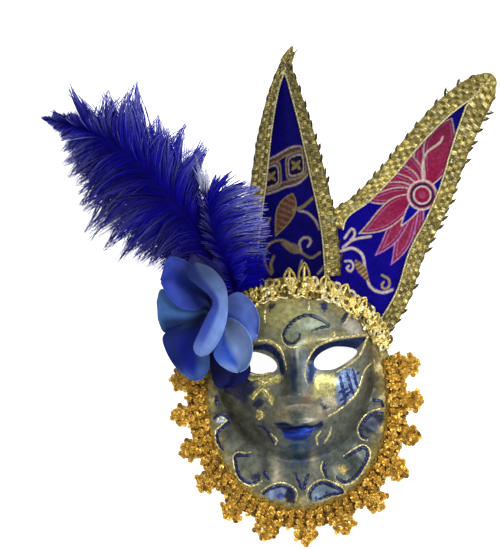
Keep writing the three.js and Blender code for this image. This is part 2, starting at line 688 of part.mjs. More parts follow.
const mask = new THREE.Group();
mask.name = 'carnival_mask';
const leftHorn = makeHorn(LEFT_HORN_ROWS);
const rightHorn = makeHorn(RIGHT_HORN_ROWS);
mask.add(
  faceShell(),
  hornPanel('left_horn', leftHorn),
  hornPanel('right_horn', rightHorn),
  hornBraid('left_horn_braid_left', leftHorn, 'left', 0.12),
  hornBraid('left_horn_braid_right', leftHorn, 'right', 0.12),
  hornBraid('right_horn_braid_left', rightHorn, 'left', 0.27),
  hornBraid('right_horn_braid_right', rightHorn, 'right', 0.08),
  browBraid(),
  collarLace(),
  ...flower(),
  plume('plume_main', PLUME_MAIN_QUILL, PLUME_MAIN_LOCKS, 0x14146a),
  plume('plume_side', PLUME_SIDE_QUILL, PLUME_SIDE_LOCKS, 0x3a3f8c),
);
const box = new THREE.Box3().setFromObject(mask, true);
const middle = box.getCenter(new THREE.Vector3());
for (const piece of mask.children) piece.position.add(new THREE.Vector3(-middle.x, -middle.y, -box.min.z));

export default mask;
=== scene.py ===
import math

import bpy
import numpy as np
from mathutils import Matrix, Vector


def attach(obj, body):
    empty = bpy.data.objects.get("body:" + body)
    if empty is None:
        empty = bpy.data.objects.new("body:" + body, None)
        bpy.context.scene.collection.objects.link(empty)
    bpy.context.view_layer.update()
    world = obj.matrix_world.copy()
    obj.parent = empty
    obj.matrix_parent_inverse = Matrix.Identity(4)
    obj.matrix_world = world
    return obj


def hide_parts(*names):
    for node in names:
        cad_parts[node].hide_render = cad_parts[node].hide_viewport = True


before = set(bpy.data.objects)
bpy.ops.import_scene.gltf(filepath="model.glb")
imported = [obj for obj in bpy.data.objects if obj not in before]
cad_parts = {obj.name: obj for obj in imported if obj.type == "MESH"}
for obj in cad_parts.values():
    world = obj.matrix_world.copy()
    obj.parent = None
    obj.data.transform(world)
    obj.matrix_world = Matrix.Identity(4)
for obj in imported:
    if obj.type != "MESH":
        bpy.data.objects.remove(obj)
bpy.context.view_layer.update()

bpy.ops.object.select_all(action="DESELECT")


# Table, light and camera
# The mask lies face up on a plain pale table, and the camera looks straight down on it, turned a little
# so that the forehead leans to the left. Of three soft lights, the strongest stands on the right.

def linear(red, green, blue):
    """A colour picked on a screen, 0 to 255, as the linear values that a shader takes."""
    screen = np.array([red, green, blue]) / 255
    return tuple(np.where(screen <= 0.04045, screen / 12.92, ((screen + 0.055) / 1.055) ** 2.4)) + (1.0,)


def set_inputs(finish, shader, inputs):
    """Gives a shader node's inputs their values, or links them to outputs of other nodes."""
    for name, value in inputs.items():
        socket = shader.inputs[name.replace("_", " ")]
        if isinstance(value, bpy.types.NodeSocket):
            finish.node_tree.links.new(value, socket)
        else:
            socket.default_value = value


def add_node(finish, kind, output, settings=None, **inputs):
    """Adds a shader node with its settings and inputs to a material, and gives one of its outputs."""
    shader = finish.node_tree.nodes.new("ShaderNode" + kind)
    for name, value in (settings or {}).items():
        setattr(shader, name, value)
    set_inputs(finish, shader, inputs)
    return shader.outputs[output]


def add_texture(finish, kind, output="Fac", settings=None, **inputs):
    """A texture on the piece's own Object coordinates, in metres."""
    places = add_node(finish, "TexCoord", "Object")
    return add_node(finish, "Tex" + kind, output, settings, Vector=places, **inputs)


def ramp(finish, share, *stops):
    """Colours that change with a share, through stops of a share from 0 to 1 and a colour or a grey."""
    bands = add_node(finish, "ValToRGB", "Color", Fac=share)
    elements = bands.node.color_ramp.elements
    for place, colour in stops[1:-1]:
        elements.new(place)
    for element, (place, colour) in zip(elements, stops):
        element.position = place
        element.color = colour if isinstance(colour, tuple) else (colour, colour, colour, 1)
    return bands


def new_finish(name):
    finish = bpy.data.materials.new(name)
    finish.use_nodes = True
    return finish


def shade(finish, **inputs):
    """Sets or links the inputs of a material's Principled shader."""
    set_inputs(finish, finish.node_tree.nodes["Principled BSDF"], inputs)


bpy.ops.mesh.primitive_plane_add(size=14, location=(0, 0, -0.0004))
table = bpy.context.object
table.name = "table"
table_paint = new_finish("pale_table")
grain = add_texture(table_paint, "Noise", Scale=35.0, Detail=4.0)
pale = ramp(table_paint, grain, (0, linear(247, 246, 242)), (1, linear(253, 253, 250)))
white = (1.0, 1.0, 1.0, 1.0)
# The table is lit from below as well
shade(table_paint, Base_Color=pale, Roughness=0.8, Emission_Color=white, Emission_Strength=0.92)
table.data.materials.append(table_paint)

world = bpy.data.worlds.new("studio")
world.use_nodes = True
sky = world.node_tree.nodes["Background"].inputs
sky["Color"].default_value = white
sky["Strength"].default_value = 0.42
bpy.context.scene.world = world
bpy.context.scene.view_settings.view_transform = "Standard"

# Soft lights: place, watts and width in metres
for place, watts, width in (
    ((0.7, 0.35, 1.1), 19, 0.6), ((-1.1, 0.5, 1.3), 6, 1.0), ((0.1, -1.2, 0.9), 7, 0.8),
):
    bpy.ops.object.light_add(type="AREA", location=place)
    lamp = bpy.context.object
    lamp.data.energy = watts
    lamp.data.size = width
    lamp.rotation_euler = (-Vector(place)).to_track_quat("-Z", "Y").to_euler()

LEAN = math.radians(3.7)  # the forehead leans to the left by this much
VIEW_CENTRE = Vector((-0.0193, 0.0221, 0.025))
VIEW_DISTANCE = 1.6
VIEW_HEIGHT = 0.4675  # what the picture takes in at that distance
camera_data = bpy.data.cameras.new("camera")
camera_data.sensor_width = 36
camera_data.lens = 36 * VIEW_DISTANCE / VIEW_HEIGHT
camera = bpy.data.objects.new("camera", camera_data)
bpy.context.scene.collection.objects.link(camera)
camera.location = VIEW_CENTRE + Vector((0, 0, VIEW_DISTANCE))
camera.rotation_euler = (0, 0, -LEAN)
bpy.context.scene.camera = camera


# Face shell
# One slip-cast ceramic piece with cut-out eyes and a fluted collar, about 3.6 mm thick and open at the
# back. It is painted silver-grey, rubbed over with gold, with blue lips and eye lines.

MASK_ORIGIN = np.array([14.157, -52.5, 0.0])  # nose line, eye line and table in the frame, millimetres
POLE_Y, RIM_SIDE, WALL, FACE_DEPTH, FLUTES, FLUTE_DEPTH = -35, 84, 3.6, 43, 17, 2.4
FACE_FORMS = [
    # x, y, half width, half height, height
    (28, 15, 19, 7, 3.4),  # brow
    (0, 14, 10, 9, 1.6),  # between the brows
    (33, 0, 20, 12, -7),  # eye socket
    (39, -26, 17, 15, 4.5),  # cheek
    (29, -52, 9, 15, -2.6),  # side of the mouth
    (0, -54, 24, 15, 4.6),  # muzzle
    (0, -27, 8, 8, 2.5),  # nose tip
    (11, -31, 5.5, 5.5, 5),  # nostril wing
    (7, -53.4, 11, 3.2, 2.1),  # upper lip
    (0, -61.6, 14, 4, 3.6),  # lower lip
    (0, -70, 15, 4.5, -2.6),  # under the lip
    (0, -79, 14, 9, 6.4),  # chin
]
EYE_X, EYE_INNER, EYE_OUTER, EYE_RISE, EYE_DROP, EYE_SLANT = 33.5, 18, 20, 9.5, 9, 3.5
HORN_GAP = 3.2


def in_frame(points):
    """Points on the mask, in millimetres from its nose, eye line and table, as metres in the frame."""
    return (np.asarray(points, float) + MASK_ORIGIN) / 1000


def smooth(value, low, high):
    share = np.clip((value - low) / (high - low), 0, 1)
    return share * share * (3 - 2 * share)


def blob(x, y, centre_x, centre_y, half_width, half_height):
    return np.exp(-((x - centre_x) / half_width) ** 2 - ((y - centre_y) / half_height) ** 2)


def rim_radius(angle):
    rise = np.abs(np.sin(angle))
    return RIM_SIDE + np.where(np.sin(angle) > 0, 18 * rise ** 1.6, 16 * rise ** 2)


def degrees_up(angle):
    return np.degrees(np.arcsin(np.sin(angle)))


def face_height(x, y):
    """Height of the front of the shell over the table, millimetres."""
    angle = np.arctan2(y - POLE_Y, x)
    share = np.hypot(x, y - POLE_Y) / rim_radius(angle)
    forehead = smooth(degrees_up(angle), 26, 46)
    fluted = smooth(share, 0.6, 0.8) - smooth(share, 0.8, 0.93)
    flute = FLUTE_DEPTH * fluted * (1 - forehead) * np.cos(FLUTES * (angle + math.pi / 2))
    collar = 8 + 4.5 * forehead + 7 * (1 - share) + flute
    reach = np.where(y > -8, 84, 80)
    crown = np.maximum(0, 1 - np.hypot(x / 68, (y + 8) / reach) ** 2.4)
    face = FACE_DEPTH * crown ** 0.62
    fade = smooth(crown, 0, 0.3)
    for form_x, form_y, half_width, half_height, height in FACE_FORMS:
        for side in (1, -1) if form_x else (1,):
            face = face + fade * height * blob(x, y, side * form_x, form_y, half_width, half_height)
    along = np.clip((12 - y) / 41, 0, 1)
    bridge = (3 + 15.5 * along) * np.exp(-np.abs(x / (7 + 3.5 * along)) ** 2.3)
    face = face + bridge * (1 - smooth(y, 4, 26)) * smooth(y, -37, -27)
    mouth = np.exp(-((y + 57 - 0.004 * x * x) / 1.7) ** 2) * (1 - smooth(np.abs(x), 17, 26))
    face = face - 2 * mouth
    apart = face - collar
    return (face + collar + np.sqrt(apart ** 2 + 49)) / 2


def move_vertices(piece, points):
    piece.data.vertices.foreach_set("co", np.asarray(points, np.float32).ravel())
    piece.data.update()


def vertex_places(piece):
    places = np.empty(len(piece.data.vertices) * 3, np.float32)
    piece.data.vertices.foreach_get("co", places)
    return places.reshape(-1, 3).astype(float)


def on_mask(piece):
    """The piece's vertices in millimetres from the mask's nose, eye line and table."""
    return vertex_places(piece) * 1000 - MASK_ORIGIN


def new_grid(name, columns, rows):
    """A flat grid, and the shares from 0 to 1 of each vertex down its rows and over its columns."""
    bpy.ops.object.select_all(action="DESELECT")
    bpy.ops.mesh.primitive_grid_add(x_subdivisions=columns, y_subdivisions=rows, size=2)
    piece = bpy.context.object
    piece.name = name
    flat = vertex_places(piece)
    return piece, (flat[:, 1] + 1) / 2, (flat[:, 0] + 1) / 2


def face_outwards():
    """Turns all the faces of the active piece outwards."""
    bpy.ops.object.mode_set(mode="EDIT")
    bpy.ops.mesh.select_all(action="SELECT")
    bpy.ops.mesh.normals_make_consistent(inside=False)
    bpy.ops.object.mode_set(mode="OBJECT")


def apply_modifier(piece, kind, **settings):
    bpy.context.view_layer.objects.active = piece
    modifier = piece.modifiers.new(kind.lower(), kind)
    for name, value in settings.items():
        setattr(modifier, name, value)
    bpy.ops.object.modifier_apply(modifier=modifier.name)


shell, down, over = new_grid("painted_face_shell", 200, 200)
square_x, square_y = 2 * over - 1, 2 * down - 1
disc_x, disc_y = square_x * np.sqrt(1 - square_y ** 2 / 2), square_y * np.sqrt(1 - square_x ** 2 / 2)
spoke = np.arctan2(disc_y, disc_x)
radius = np.hypot(disc_x, disc_y) * rim_radius(spoke)
shell_x, shell_y = radius * np.cos(spoke), POLE_Y + radius * np.sin(spoke)
move_vertices(shell, in_frame(np.stack([shell_x, shell_y, face_height(shell_x, shell_y)], axis=1)))

# The rim is drawn down to the table, with a gap for the horns along the forehead, and the wall thickened
bpy.ops.object.mode_set(mode="EDIT")
bpy.ops.mesh.select_all(action="SELECT")
bpy.ops.mesh.region_to_loop()
bpy.ops.mesh.extrude_edges_move()
bpy.ops.object.mode_set(mode="OBJECT")
places = on_mask(shell)
lowered = np.array([vertex.select for vertex in shell.data.vertices])
rim_angle = np.arctan2(places[lowered, 1] - POLE_Y, places[lowered, 0])
places[lowered, 2] = HORN_GAP * smooth(degrees_up(rim_angle), 16, 27)
move_vertices(shell, in_frame(places))
face_outwards()
apply_modifier(shell, "SOLIDIFY", thickness=WALL / 1000, offset=-1)

# The eyes are cut with almond-shaped blades
for side in (1, -1):
    bpy.ops.object.select_all(action="DESELECT")
    bpy.ops.mesh.primitive_circle_add(vertices=64, fill_type="NGON")
    blade = bpy.context.object
    turn = np.arctan2(vertex_places(blade)[:, 1], vertex_places(blade)[:, 0])
    across = np.cos(turn)
    lid = np.where(np.sin(turn) > 0, EYE_RISE, EYE_DROP) * np.sin(turn)
    outline_x = side * (EYE_X + np.where(across > 0, EYE_OUTER, EYE_INNER) * across)
    outline_y = lid * (1 - 0.35 * np.maximum(across, 0)) + EYE_SLANT * across
    move_vertices(blade, in_frame(np.stack([outline_x, outline_y, np.full(64, 10.0)], axis=1)))
    bpy.ops.object.mode_set(mode="EDIT")
    bpy.ops.mesh.select_all(action="SELECT")
    bpy.ops.mesh.extrude_region_move(TRANSFORM_OT_translate={"value": (0, 0, 0.06)})
    bpy.ops.object.mode_set(mode="OBJECT")
    face_outwards()
    apply_modifier(shell, "BOOLEAN", operation="DIFFERENCE", object=blade, solver="EXACT")
    bpy.data.objects.remove(blade)


def smooth_curve(points, shares):
    """Places at shares 0 to 1 of a smooth curve through the given points."""
    points = np.asarray(points, float)
    row = np.vstack([2 * points[0] - points[1], points, 2 * points[-1] - points[-2]])
    place = np.clip(np.asarray(shares, float), 0, 1) * (len(points) - 1)
    span = np.minimum(place.astype(int), len(points) - 2)
    step = (place - span)[:, None]
    before, start, end, after = (row[span + offset] for offset in range(4))
    gap_in, gap, gap_out = (np.maximum(np.linalg.norm(there - here, axis=1, keepdims=True) ** 0.5, 1e-4)
                            for here, there in ((before, start), (start, end), (end, after)))
    leave = gap * ((start - before) / gap_in - (end - before) / (gap_in + gap) + (end - start) / gap)
    arrive = gap * ((end - start) / gap - (after - start) / (gap + gap_out) + (after - end) / gap_out)
    bend = 3 * (end - start) - 2 * leave - arrive
    twist = 2 * (start - end) + leave + arrive
    return start + step * (leave + step * (bend + step * twist))


def run_along(points):
    """Distance from the first point to each point."""
    return np.concatenate([[0], np.cumsum(np.linalg.norm(np.diff(points, axis=0), axis=1))])


def even_curve(points, spacing):
    """A smooth curve through the points, as places about spacing apart."""
    fine = smooth_curve(points, np.linspace(0, 1, 40 * len(points)))
    run = run_along(fine)
    stops = np.linspace(0, run[-1], max(3, int(run[-1] / spacing) + 1))
    return np.stack([np.interp(stops, run, column) for column in fine.T], axis=1)


SILVER_GREY, RIM_GOLD, RIM_INSIDE = (99, 102, 89), (150, 130, 62), (70, 66, 56)
PAINT_PATCHES = [
    # colour, place, half width, half height and strength of areas that fade out all round
    ((138, 134, 84), -14, 42, 36, 22, 0.9),  # gold rubbed over the forehead
    ((92, 86, 50), -46, 34, 13, 26, 0.7),
    ((164, 158, 108), -4, 46, 9, 10, 0.6),
    ((92, 86, 72), 67, -2, 11, 22, 0.7),  # right temple
    ((50, 52, 44), -52, -40, 22, 34, 0.9),  # painted shade on the left cheek, the side away from the light
    ((70, 74, 66), 54, -54, 20, 24, 0.85),  # right cheek, darkened as painted shade towards the corner of the mouth
    ((24, 52, 80), 2, -78, 24, 18, 0.9),  # blue-grey chin
    ((46, 46, 38), -34, -60, 14, 12, 0.8),  # painted shade in the hollow beside the mouth
    ((132, 120, 92), -13, -44, 9, 7, 0.7),  # over the upper lip
    ((176, 164, 138), 17, -45, 10, 6, 0.7),
    # painted shade in the groove over the upper lip
    ((62, 74, 72), -2, -46, 5, 9, 0.85),
    ((72, 68, 58), -10, -16, 4, 16, 0.8),  # sides of the nose: painted shade on the left, painted highlight on the right
    ((108, 134, 166), 8, -8, 3, 13, 0.8),
    ((8, 36, 66), -2, -14, 4.6, 15, 1.0),  # dark streak down the nose
    ((26, 38, 78), -1, 2, 2.6, 2.8, 0.9),
    ((92, 104, 118), -1, -33, 5, 4, 0.6),
    ((136, 128, 112), 2, -37, 9, 4, 0.8),  # painted light on the underside of the nose, which lies in shade
    ((148, 122, 98), 9, -31, 5.5, 5, 0.75),  # warm nose tip
    ((172, 164, 136), -22, -96, 4, 12, 0.8),  # folds below the mouth: painted highlights on them and painted shade between them
    ((44, 46, 46), -31, -90, 3.5, 14, 0.7),
    ((166, 158, 130), 11, -88, 4, 11, 0.6),
    # painted shade on the right cheek by the lace, and below the corner of the mouth
    ((52, 48, 42), 66, -25, 8, 13, 0.8),
    ((58, 66, 68), 44, -78, 18, 14, 0.7),
]
PAINT_SHAPES = [
    # colour, softness of the edge, glitter, outline of areas with a firmer edge
    ((166, 160, 150), 1.5, 0, [(41, 28), (48.5, 38.5), (52, 35), (61.5, 18), (57, 17),
     (45, 21.5)]),  # right temple
    ((124, 118, 84), 2.2, 0.35, [(7, 12), (9.5, 18), (16, 20), (25, 18.5), (35, 23.5), (46, 22.5),
     (48, 19.5), (35, 17.5), (20, 13), (12, 9)]),  # over the brows
    ((140, 130, 78), 1.4, 0.6, [(-7, 13), (-25, 19.5), (-46, 22), (-50, 18), (-24, 17), (-12, 8)]),
    ((170, 162, 106), 1.6, 0.45, [(15, -14), (25, -13), (34, -14.5), (32, -25), (29.5, -33), (21.5, -31),
     (14, -32.5), (13.5, -23.5)]),  # under the right eye
    ((178, 168, 142), 1.6, 0.2, [(20.5, -31.5), (31, -32.5), (33, -39), (25, -44), (19, -40.5)]),
    ((116, 138, 182), 2.0, 0.5, [(35.5, -11), (49, -10.5), (53.5, -18.5), (49, -29), (42, -38.5),
     (34, -39.5), (33.5, -27)]),
    ((150, 142, 80), 1.4, 0.7, [(-43, -10), (-27.5, -10.5), (-11, -12.5), (-17, -17.5), (-25, -19),
     (-34.5, -16)]),
    ((150, 140, 72), 1.0, 0.9, [(-34, -21), (-28, -20), (-22, -26), (-20, -32), (-23.5, -36), (-25, -31),
     (-28.5, -26), (-33, -25), (-37, -29.5), (-39.5, -29), (-37.5, -24)]),  # left cheek
    ((142, 126, 66), 1.2, 0.9, [(-34, -40), (-29.5, -41), (-29, -46), (-33.5, -48), (-36, -44)]),
    ((14, 18, 54), 1.6, 0.6, [(-62, -10), (-44, -10.5), (-35, -20.5), (-41.5, -27.5), (-43, -34),
     (-50, -31), (-55, -27), (-62, -24)]),  # navy paint beside the flower, with the flower's shadow painted into it
    ((20, 24, 54), 0.9, 0.3, [(-38, -35.5), (-35.5, -31), (-30, -30.5), (-29, -35), (-33.5, -38)]),
    ((112, 122, 104), 0.8, 0, [(-5, 18), (-5, 23.5), (1.5, 31), (12.5, 34.5), (23.5, 29.5), (14, 24.5),
     (6.5, 24), (3, 20)]),  # forehead scroll
    ((16, 32, 78), 0.8, 0.3, [(23.5, 47), (31, 46.5), (29, 40), (27, 36.5),
     (25.5, 41.5)]),  # marks like drops
    ((14, 20, 42), 0.8, 0.3, [(-21, 46), (-18.5, 48.5), (-12.5, 50), (-15, 46.5), (-18.5, 43)]),
    ((34, 56, 96), 0.8, 0.3, [(19.5, -35), (22, -39), (28.5, -40.5), (21, -42.5), (19, -39.5)]),
    ((110, 126, 160), 0.8, 0, [(-35, -114.5), (-29, -110.5), (-19.5, -108.5), (-14, -110.5), (-19, -117.5),
     (-26.5, -118)]),
    ((44, 62, 136), 0.8, 0, [(-23, -115), (-18.5, -114), (-14.5, -117), (-19, -119),
     (-22.5, -118)]),  # half-moons
    ((20, 26, 52), 0.8, 0, [(-14, -110.5), (-9, -113), (-8.5, -122.5), (-13, -123), (-16, -118)]),
    ((104, 122, 140), 0.8, 0, [(5.5, -121), (7, -113.5), (13, -109.5), (22, -109), (29, -113.5),
     (30.5, -117), (21.5, -119), (13.5, -123)]),
    ((70, 78, 76), 1.0, 0, [(36, -90), (54, -81), (56, -86), (51, -95), (44, -103.5), (36, -106),
     (31, -102)]),
    ((92, 96, 84), 1.0, 0, [(-41, -81), (-53.5, -81), (-54, -86), (-51, -97), (-44, -101.5), (-38, -100)]),
    ((32, 38, 70), 0.9, 0.3, [(-44, -99), (-40, -95.5), (-36.5, -96), (-37, -100.5), (-41, -101.5)]),
    ((34, 42, 60), 1.0, 0, [(55, -58), (66, -52), (73, -52), (70, -62), (58, -68)]),
    ((150, 162, 190), 0.8, 0, [(-71, -48), (-67, -44.5), (-61.5, -48), (-66, -51)]),
    ((166, 146, 82), 1.4, 0.8, [(30.5, -95), (36, -93), (39, -97.5), (34.5, -100.5)]),
    ((26, 34, 96), 0.8, 0.3, [(8.5, -120), (11, -117.5), (13.3, -119.5), (11, -121.8)]),
    ((34, 38, 96), 0.8, 0.3, [(18, -117), (20, -115.3), (22, -117), (20, -119)]),
    ((12, 38, 92), 0.8, 0.5, [(10.5, -2.5), (16, -2), (17, -9.5), (15, -14.5), (10.5, -18.5), (8.5, -14.5),
     (10.5, -9)]),
]
LIPS = [
    (-21.4, -51.8), (-12.4, -51), (-2.8, -54.6), (3.8, -53.2), (11.8, -55.2), (19.7, -52.4), (19, -57.6),
    (10.8, -60), (8.6, -63.5), (4.5, -67.2), (-4, -68.2), (-10, -66.6), (-13.6, -63.6), (-14.6, -59.2),
    (-18, -55.7),
]
UPPER_LIP = [
    (-21.4, -51.8), (-12.4, -51), (-2.8, -54.6), (3.8, -53.2), (11.8, -55.2), (19.7, -52.4), (18.6, -57.6),
    (10, -58), (2, -57), (-6, -58.4), (-13, -59.4), (-18, -55.7),
]
EYE_LINES = [
    [(10.4, -0.5), (17.6, 9), (26.6, 12.8), (35.5, 14.4), (46.5, 15.3), (62, 14.8), (58.8, 10.7),
     (52.4, 6.2), (42.6, 7.4), (37.3, 9), (27.4, 7.8), (19.4, 3.4), (15.9, -0.8)],
    [(-61, 14), (-46, 14.6), (-36.3, 14.6), (-25.7, 16.2), (-18.2, 14.6), (-12.1, 6.5), (-9.5, -6.8),
     (-10.6, -11.6), (-13.2, -9.8), (-15.2, 1.2), (-20.8, 8.2), (-27.1, 10.6), (-36, 10.8), (-48, 8.4)],
]
LIP_BLUE, LIP_PAINTED_HIGHLIGHT, LIP_NAVY, EYE_NAVY = (0, 34, 128), (30, 70, 168), (2, 12, 50), (12, 24, 62)


def even_outline(corners):
    """A closed outline drawn smoothly through its corners."""
    return even_curve(corners + corners[:1], 1.6)


def inside_shape(x, y, corners, softness):
    """1 inside a closed outline and 0 outside, fading over the softness, in millimetres, at its edge."""
    outline = even_outline(corners)
    near = np.flatnonzero((x > outline[:, 0].min() - 3) & (x < outline[:, 0].max() + 3)
                          & (y > outline[:, 1].min() - 3) & (y < outline[:, 1].max() + 3))
    near_x, near_y = x[near], y[near]
    within, distance = np.zeros(len(near), bool), np.full(len(near), 1e9)
    for (x0, y0), (x1, y1) in zip(outline, np.roll(outline, -1, axis=0)):
        run_x, run_y = x1 - x0, y1 - y0
        if abs(run_y) > 1e-9:
            within ^= ((y0 > near_y) != (y1 > near_y)) & (near_x < x0 + run_x * (near_y - y0) / run_y)
        share = ((near_x - x0) * run_x + (near_y - y0) * run_y) / (run_x ** 2 + run_y ** 2 + 1e-9)
        share = np.clip(share, 0, 1)
        distance = np.minimum(distance, np.hypot(near_x - x0 - share * run_x, near_y - y0 - share * run_y))
    cover = np.zeros(len(x))
    cover[near] = smooth(np.where(within, distance, -distance), -softness, softness)
    return cover


def tint(colour):
    return np.array(linear(*colour)[:3])


def all_over(colour, count):
    return np.tile(tint(colour), (count, 1))


def lay(under, colour, cover):
    """Covers the colours under it with one colour, by a share for each vertex."""
    under += (tint(colour) - under) * cover[:, None]


def colour_attribute(piece, name, colours):
    """Stores a colour for each vertex, for the piece's material to read."""
    attribute = piece.data.attributes.new(name, "FLOAT_COLOR", "POINT")
    rgba = np.ones((len(piece.data.vertices), 4), np.float32)
    rgba[:, :3] = np.asarray(colours)[:, :3]
    attribute.data.foreach_set("color", rgba.ravel())


x, y, z = on_mask(shell).T
ripple = np.sin(x * 0.31 + 2.1 * np.sin(y * 0.13)) * np.sin(y * 0.27 + 1.7 * np.sin(x * 0.17))
paint = all_over(SILVER_GREY, len(x))
for colour, centre_x, centre_y, half_width, half_height, strength in PAINT_PATCHES:
    cover = strength * blob(x, y, centre_x, centre_y, half_width, half_height) * (1 + 0.3 * ripple)
    lay(paint, colour, np.clip(cover, 0, 1))
out_to_rim = np.hypot(x, y - POLE_Y) / rim_radius(np.arctan2(y - POLE_Y, x))
dusted = np.clip(smooth(out_to_rim, 0.76, 0.95) * (0.7 + 0.4 * ripple), 0, 1)
lay(paint, RIM_GOLD, dusted)
glitter = 0.7 * dusted
wander_x = 0.6 * np.sin(y * 0.9 + 2 * np.sin(x * 0.6)) + 0.5 * np.sin(y * 2.1 + x)
wander_y = 0.6 * np.sin(x * 0.8 + 2 * np.sin(y * 0.7)) + 0.5 * np.sin(x * 2.3 - y)
for colour, softness, sparkle, corners in PAINT_SHAPES:
    cover = inside_shape(x + wander_x, y + wander_y, corners, softness)
    lay(paint, colour, 0.92 * cover)
    glitter = glitter + (sparkle - glitter) * cover
lip_x, lip_y = x + 0.3 * wander_x, y + 0.3 * wander_y
lips = inside_shape(lip_x, lip_y, LIPS, 0.7)
lay(paint, LIP_BLUE, lips)
# painted highlight on the fullest part of the lower lip
lay(paint, LIP_PAINTED_HIGHLIGHT, 0.7 * lips * blob(x, y, 3.5, -62, 6, 3))
lay(paint, LIP_NAVY, inside_shape(lip_x, lip_y, UPPER_LIP, 0.9))
glitter = np.maximum(glitter, 0.35 * lips)
for corners in EYE_LINES:
    eye_line = inside_shape(x, y, corners, 0.5)
    lay(paint, EYE_NAVY, eye_line)
    glitter = np.maximum(glitter, eye_line)
lay(paint, RIM_INSIDE, (z < face_height(x, y) - 1.2).astype(float))
colour_attribute(shell, "paint", paint)
colour_attribute(shell, "glitter", np.repeat(glitter[:, None], 3, axis=1))


def kept(finish, name, output="Color"):
    """What a piece keeps for each vertex under a name."""
    return add_node(finish, "Attribute", output, {"attribute_name": name})


def multiplied(finish, colour, shades, share=1.0):
    """A colour multiplied by lighter and darker shades, where the share is 1."""
    blend = {"data_type": "RGBA", "blend_type": "MULTIPLY"}
    return add_node(finish, "Mix", "Result", blend, Factor=share, A=colour, B=shades)


def relief(finish, height, strength, distance):
    return add_node(finish, "Bump", "Normal", Strength=strength, Distance=distance, Height=height)


def select_only(*pieces):
    """Selects just these pieces, with the first of them active."""
    bpy.ops.object.select_all(action="DESELECT")
    for piece in pieces:
        piece.select_set(True)
    bpy.context.view_layer.objects.active = pieces[0]


def dress(piece, finish, degrees):
    """Gives a piece its material, and smooth shading except at edges sharper than the angle."""
    piece.data.materials.append(finish)
    select_only(piece)
    bpy.ops.object.shade_smooth_by_angle(angle=math.radians(degrees))


ceramic = new_finish("painted_ceramic")
brushed = add_texture(ceramic, "Noise", Scale=230.0, Detail=6.0, Roughness=0.65)
rubbed = multiplied(ceramic, kept(ceramic, "paint"), ramp(ceramic, brushed, (0.3, 0.5), (0.72, 1.35)))
flakes = add_texture(ceramic, "Voronoi", "Color", Scale=950.0)
# painted glints: the glitter's flakes vary in tone, and the brightest are lighter than the paint itself
glints = ramp(ceramic, flakes, (0.25, (0.4, 0.4, 0.36, 1)), (0.8, (1.9, 1.9, 1.7, 1)))
pitted = add_texture(ceramic, "Noise", Scale=900.0, Detail=3.0)
shade(
    ceramic, Base_Color=multiplied(ceramic, rubbed, glints, kept(ceramic, "glitter", "Fac")),
    Roughness=add_node(ceramic, "MapRange", "Result", Value=brushed, To_Min=0.28, To_Max=0.5),
    Normal=relief(ceramic, pitted, 0.25, 0.0006), Metallic=0.5, Specular_IOR_Level=0.2)
dress(shell, ceramic, 40)
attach(shell, "root")
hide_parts("face_shell")


# Glitter paint lines
# Scrolls, half-moons and a check drawn with thick glitter paint on the dry ground coat. The blue lines are
# about 4 mm wide and stand 1 mm proud, and a thin gold line follows most of them.

BLUE_HALF_WIDTH, CHECK_HALF_WIDTH, GOLD_HALF_WIDTH, GOLD_EDGE_HALF_WIDTH = 2.3, 2.1, 1.35, 1.15
TEAL_GLITTER, NAVY_GLITTER, CHECK_GLITTER = (12, 30, 48), (14, 25, 66), (16, 32, 84)
GOLD_GLITTER, GOLD_APART, BEAD_SUNK = (172, 160, 108), 2.7, 0.9
BLUE_LINES = [
    # x and y of the points of each line, and the side on which a gold line follows it (0 for none)
    ([(5.4, 24), (3.9, 17.5), (-1.7, 14.6), (-7.1, 16.6), (-7.8, 22.7), (-2.9, 30), (4, 35), (12.9, 37.2),
      (21.4, 33.9), (29.7, 27.4), (23.1, 26.1), (14.1, 23.4)], 0),  # forehead scroll
    ([(48.5, 38.7), (44.4, 33.5), (40.7, 28.3)], 1),
    ([(63.8, -39.5), (71.2, -40.7), (73.1, -46.1)], 0),  # right collar
    ([(74, -50.5), (66.1, -50.1), (57.5, -55.5), (52.6, -63.4), (55.1, -70.3), (60.3, -69.9)], -1),
    ([(36, -89.2), (43, -84.4), (54.5, -79.9), (57.1, -85.3), (52, -95.4), (44.7, -104.6), (36.3, -107.8),
      (29.8, -103.7), (29.3, -99.9)], 1),
    ([(21.8, -89), (19.3, -93.3), (20.4, -99.3), (22.4, -103.2)], -1),
    ([(-5.5, -96.2), (-3, -103.8), (0.2, -111), (2.9, -104.2), (6.4, -96.9)], 0),  # below the chin
    ([(6.9, -123.1), (5.4, -116.3), (10, -109.9), (17.6, -107.4), (25.7, -110.1), (33.5, -115.9),
      (24.5, -117.2), (15.3, -120.6), (9.2, -123.2)], 1),
    ([(-35.8, -114.8), (-28.7, -109.6), (-19.7, -107.5), (-12.4, -109.9), (-7.9, -114.7),
      (-10.2, -122.7)], 1),
    ([(-39.5, -79.4), (-47.7, -80), (-55.1, -79.5), (-55.5, -85.5), (-52.6, -97.6), (-44.8, -103.3),
      (-37.2, -101.6), (-35.4, -96.5)], -1),
    ([(-31.4, -93), (-30.9, -97.5), (-27.5, -102.2)], 0),
    ([(-73.3, -48.5), (-69.2, -43.6), (-64.7, -43.1), (-58.4, -48.2), (-63.9, -53.6), (-69.5, -59.2),
      (-69.2, -66.7), (-65.3, -74.4)], -1),  # left collar
    ([(-68, -25), (-69.2, -30.9), (-68.8, -36.9)], 0),
    ([(-35.5, -52.5), (-28.3, -55.9), (-24.3, -63.6), (-21.7, -69.8)], 0),  # beside the mouth
]
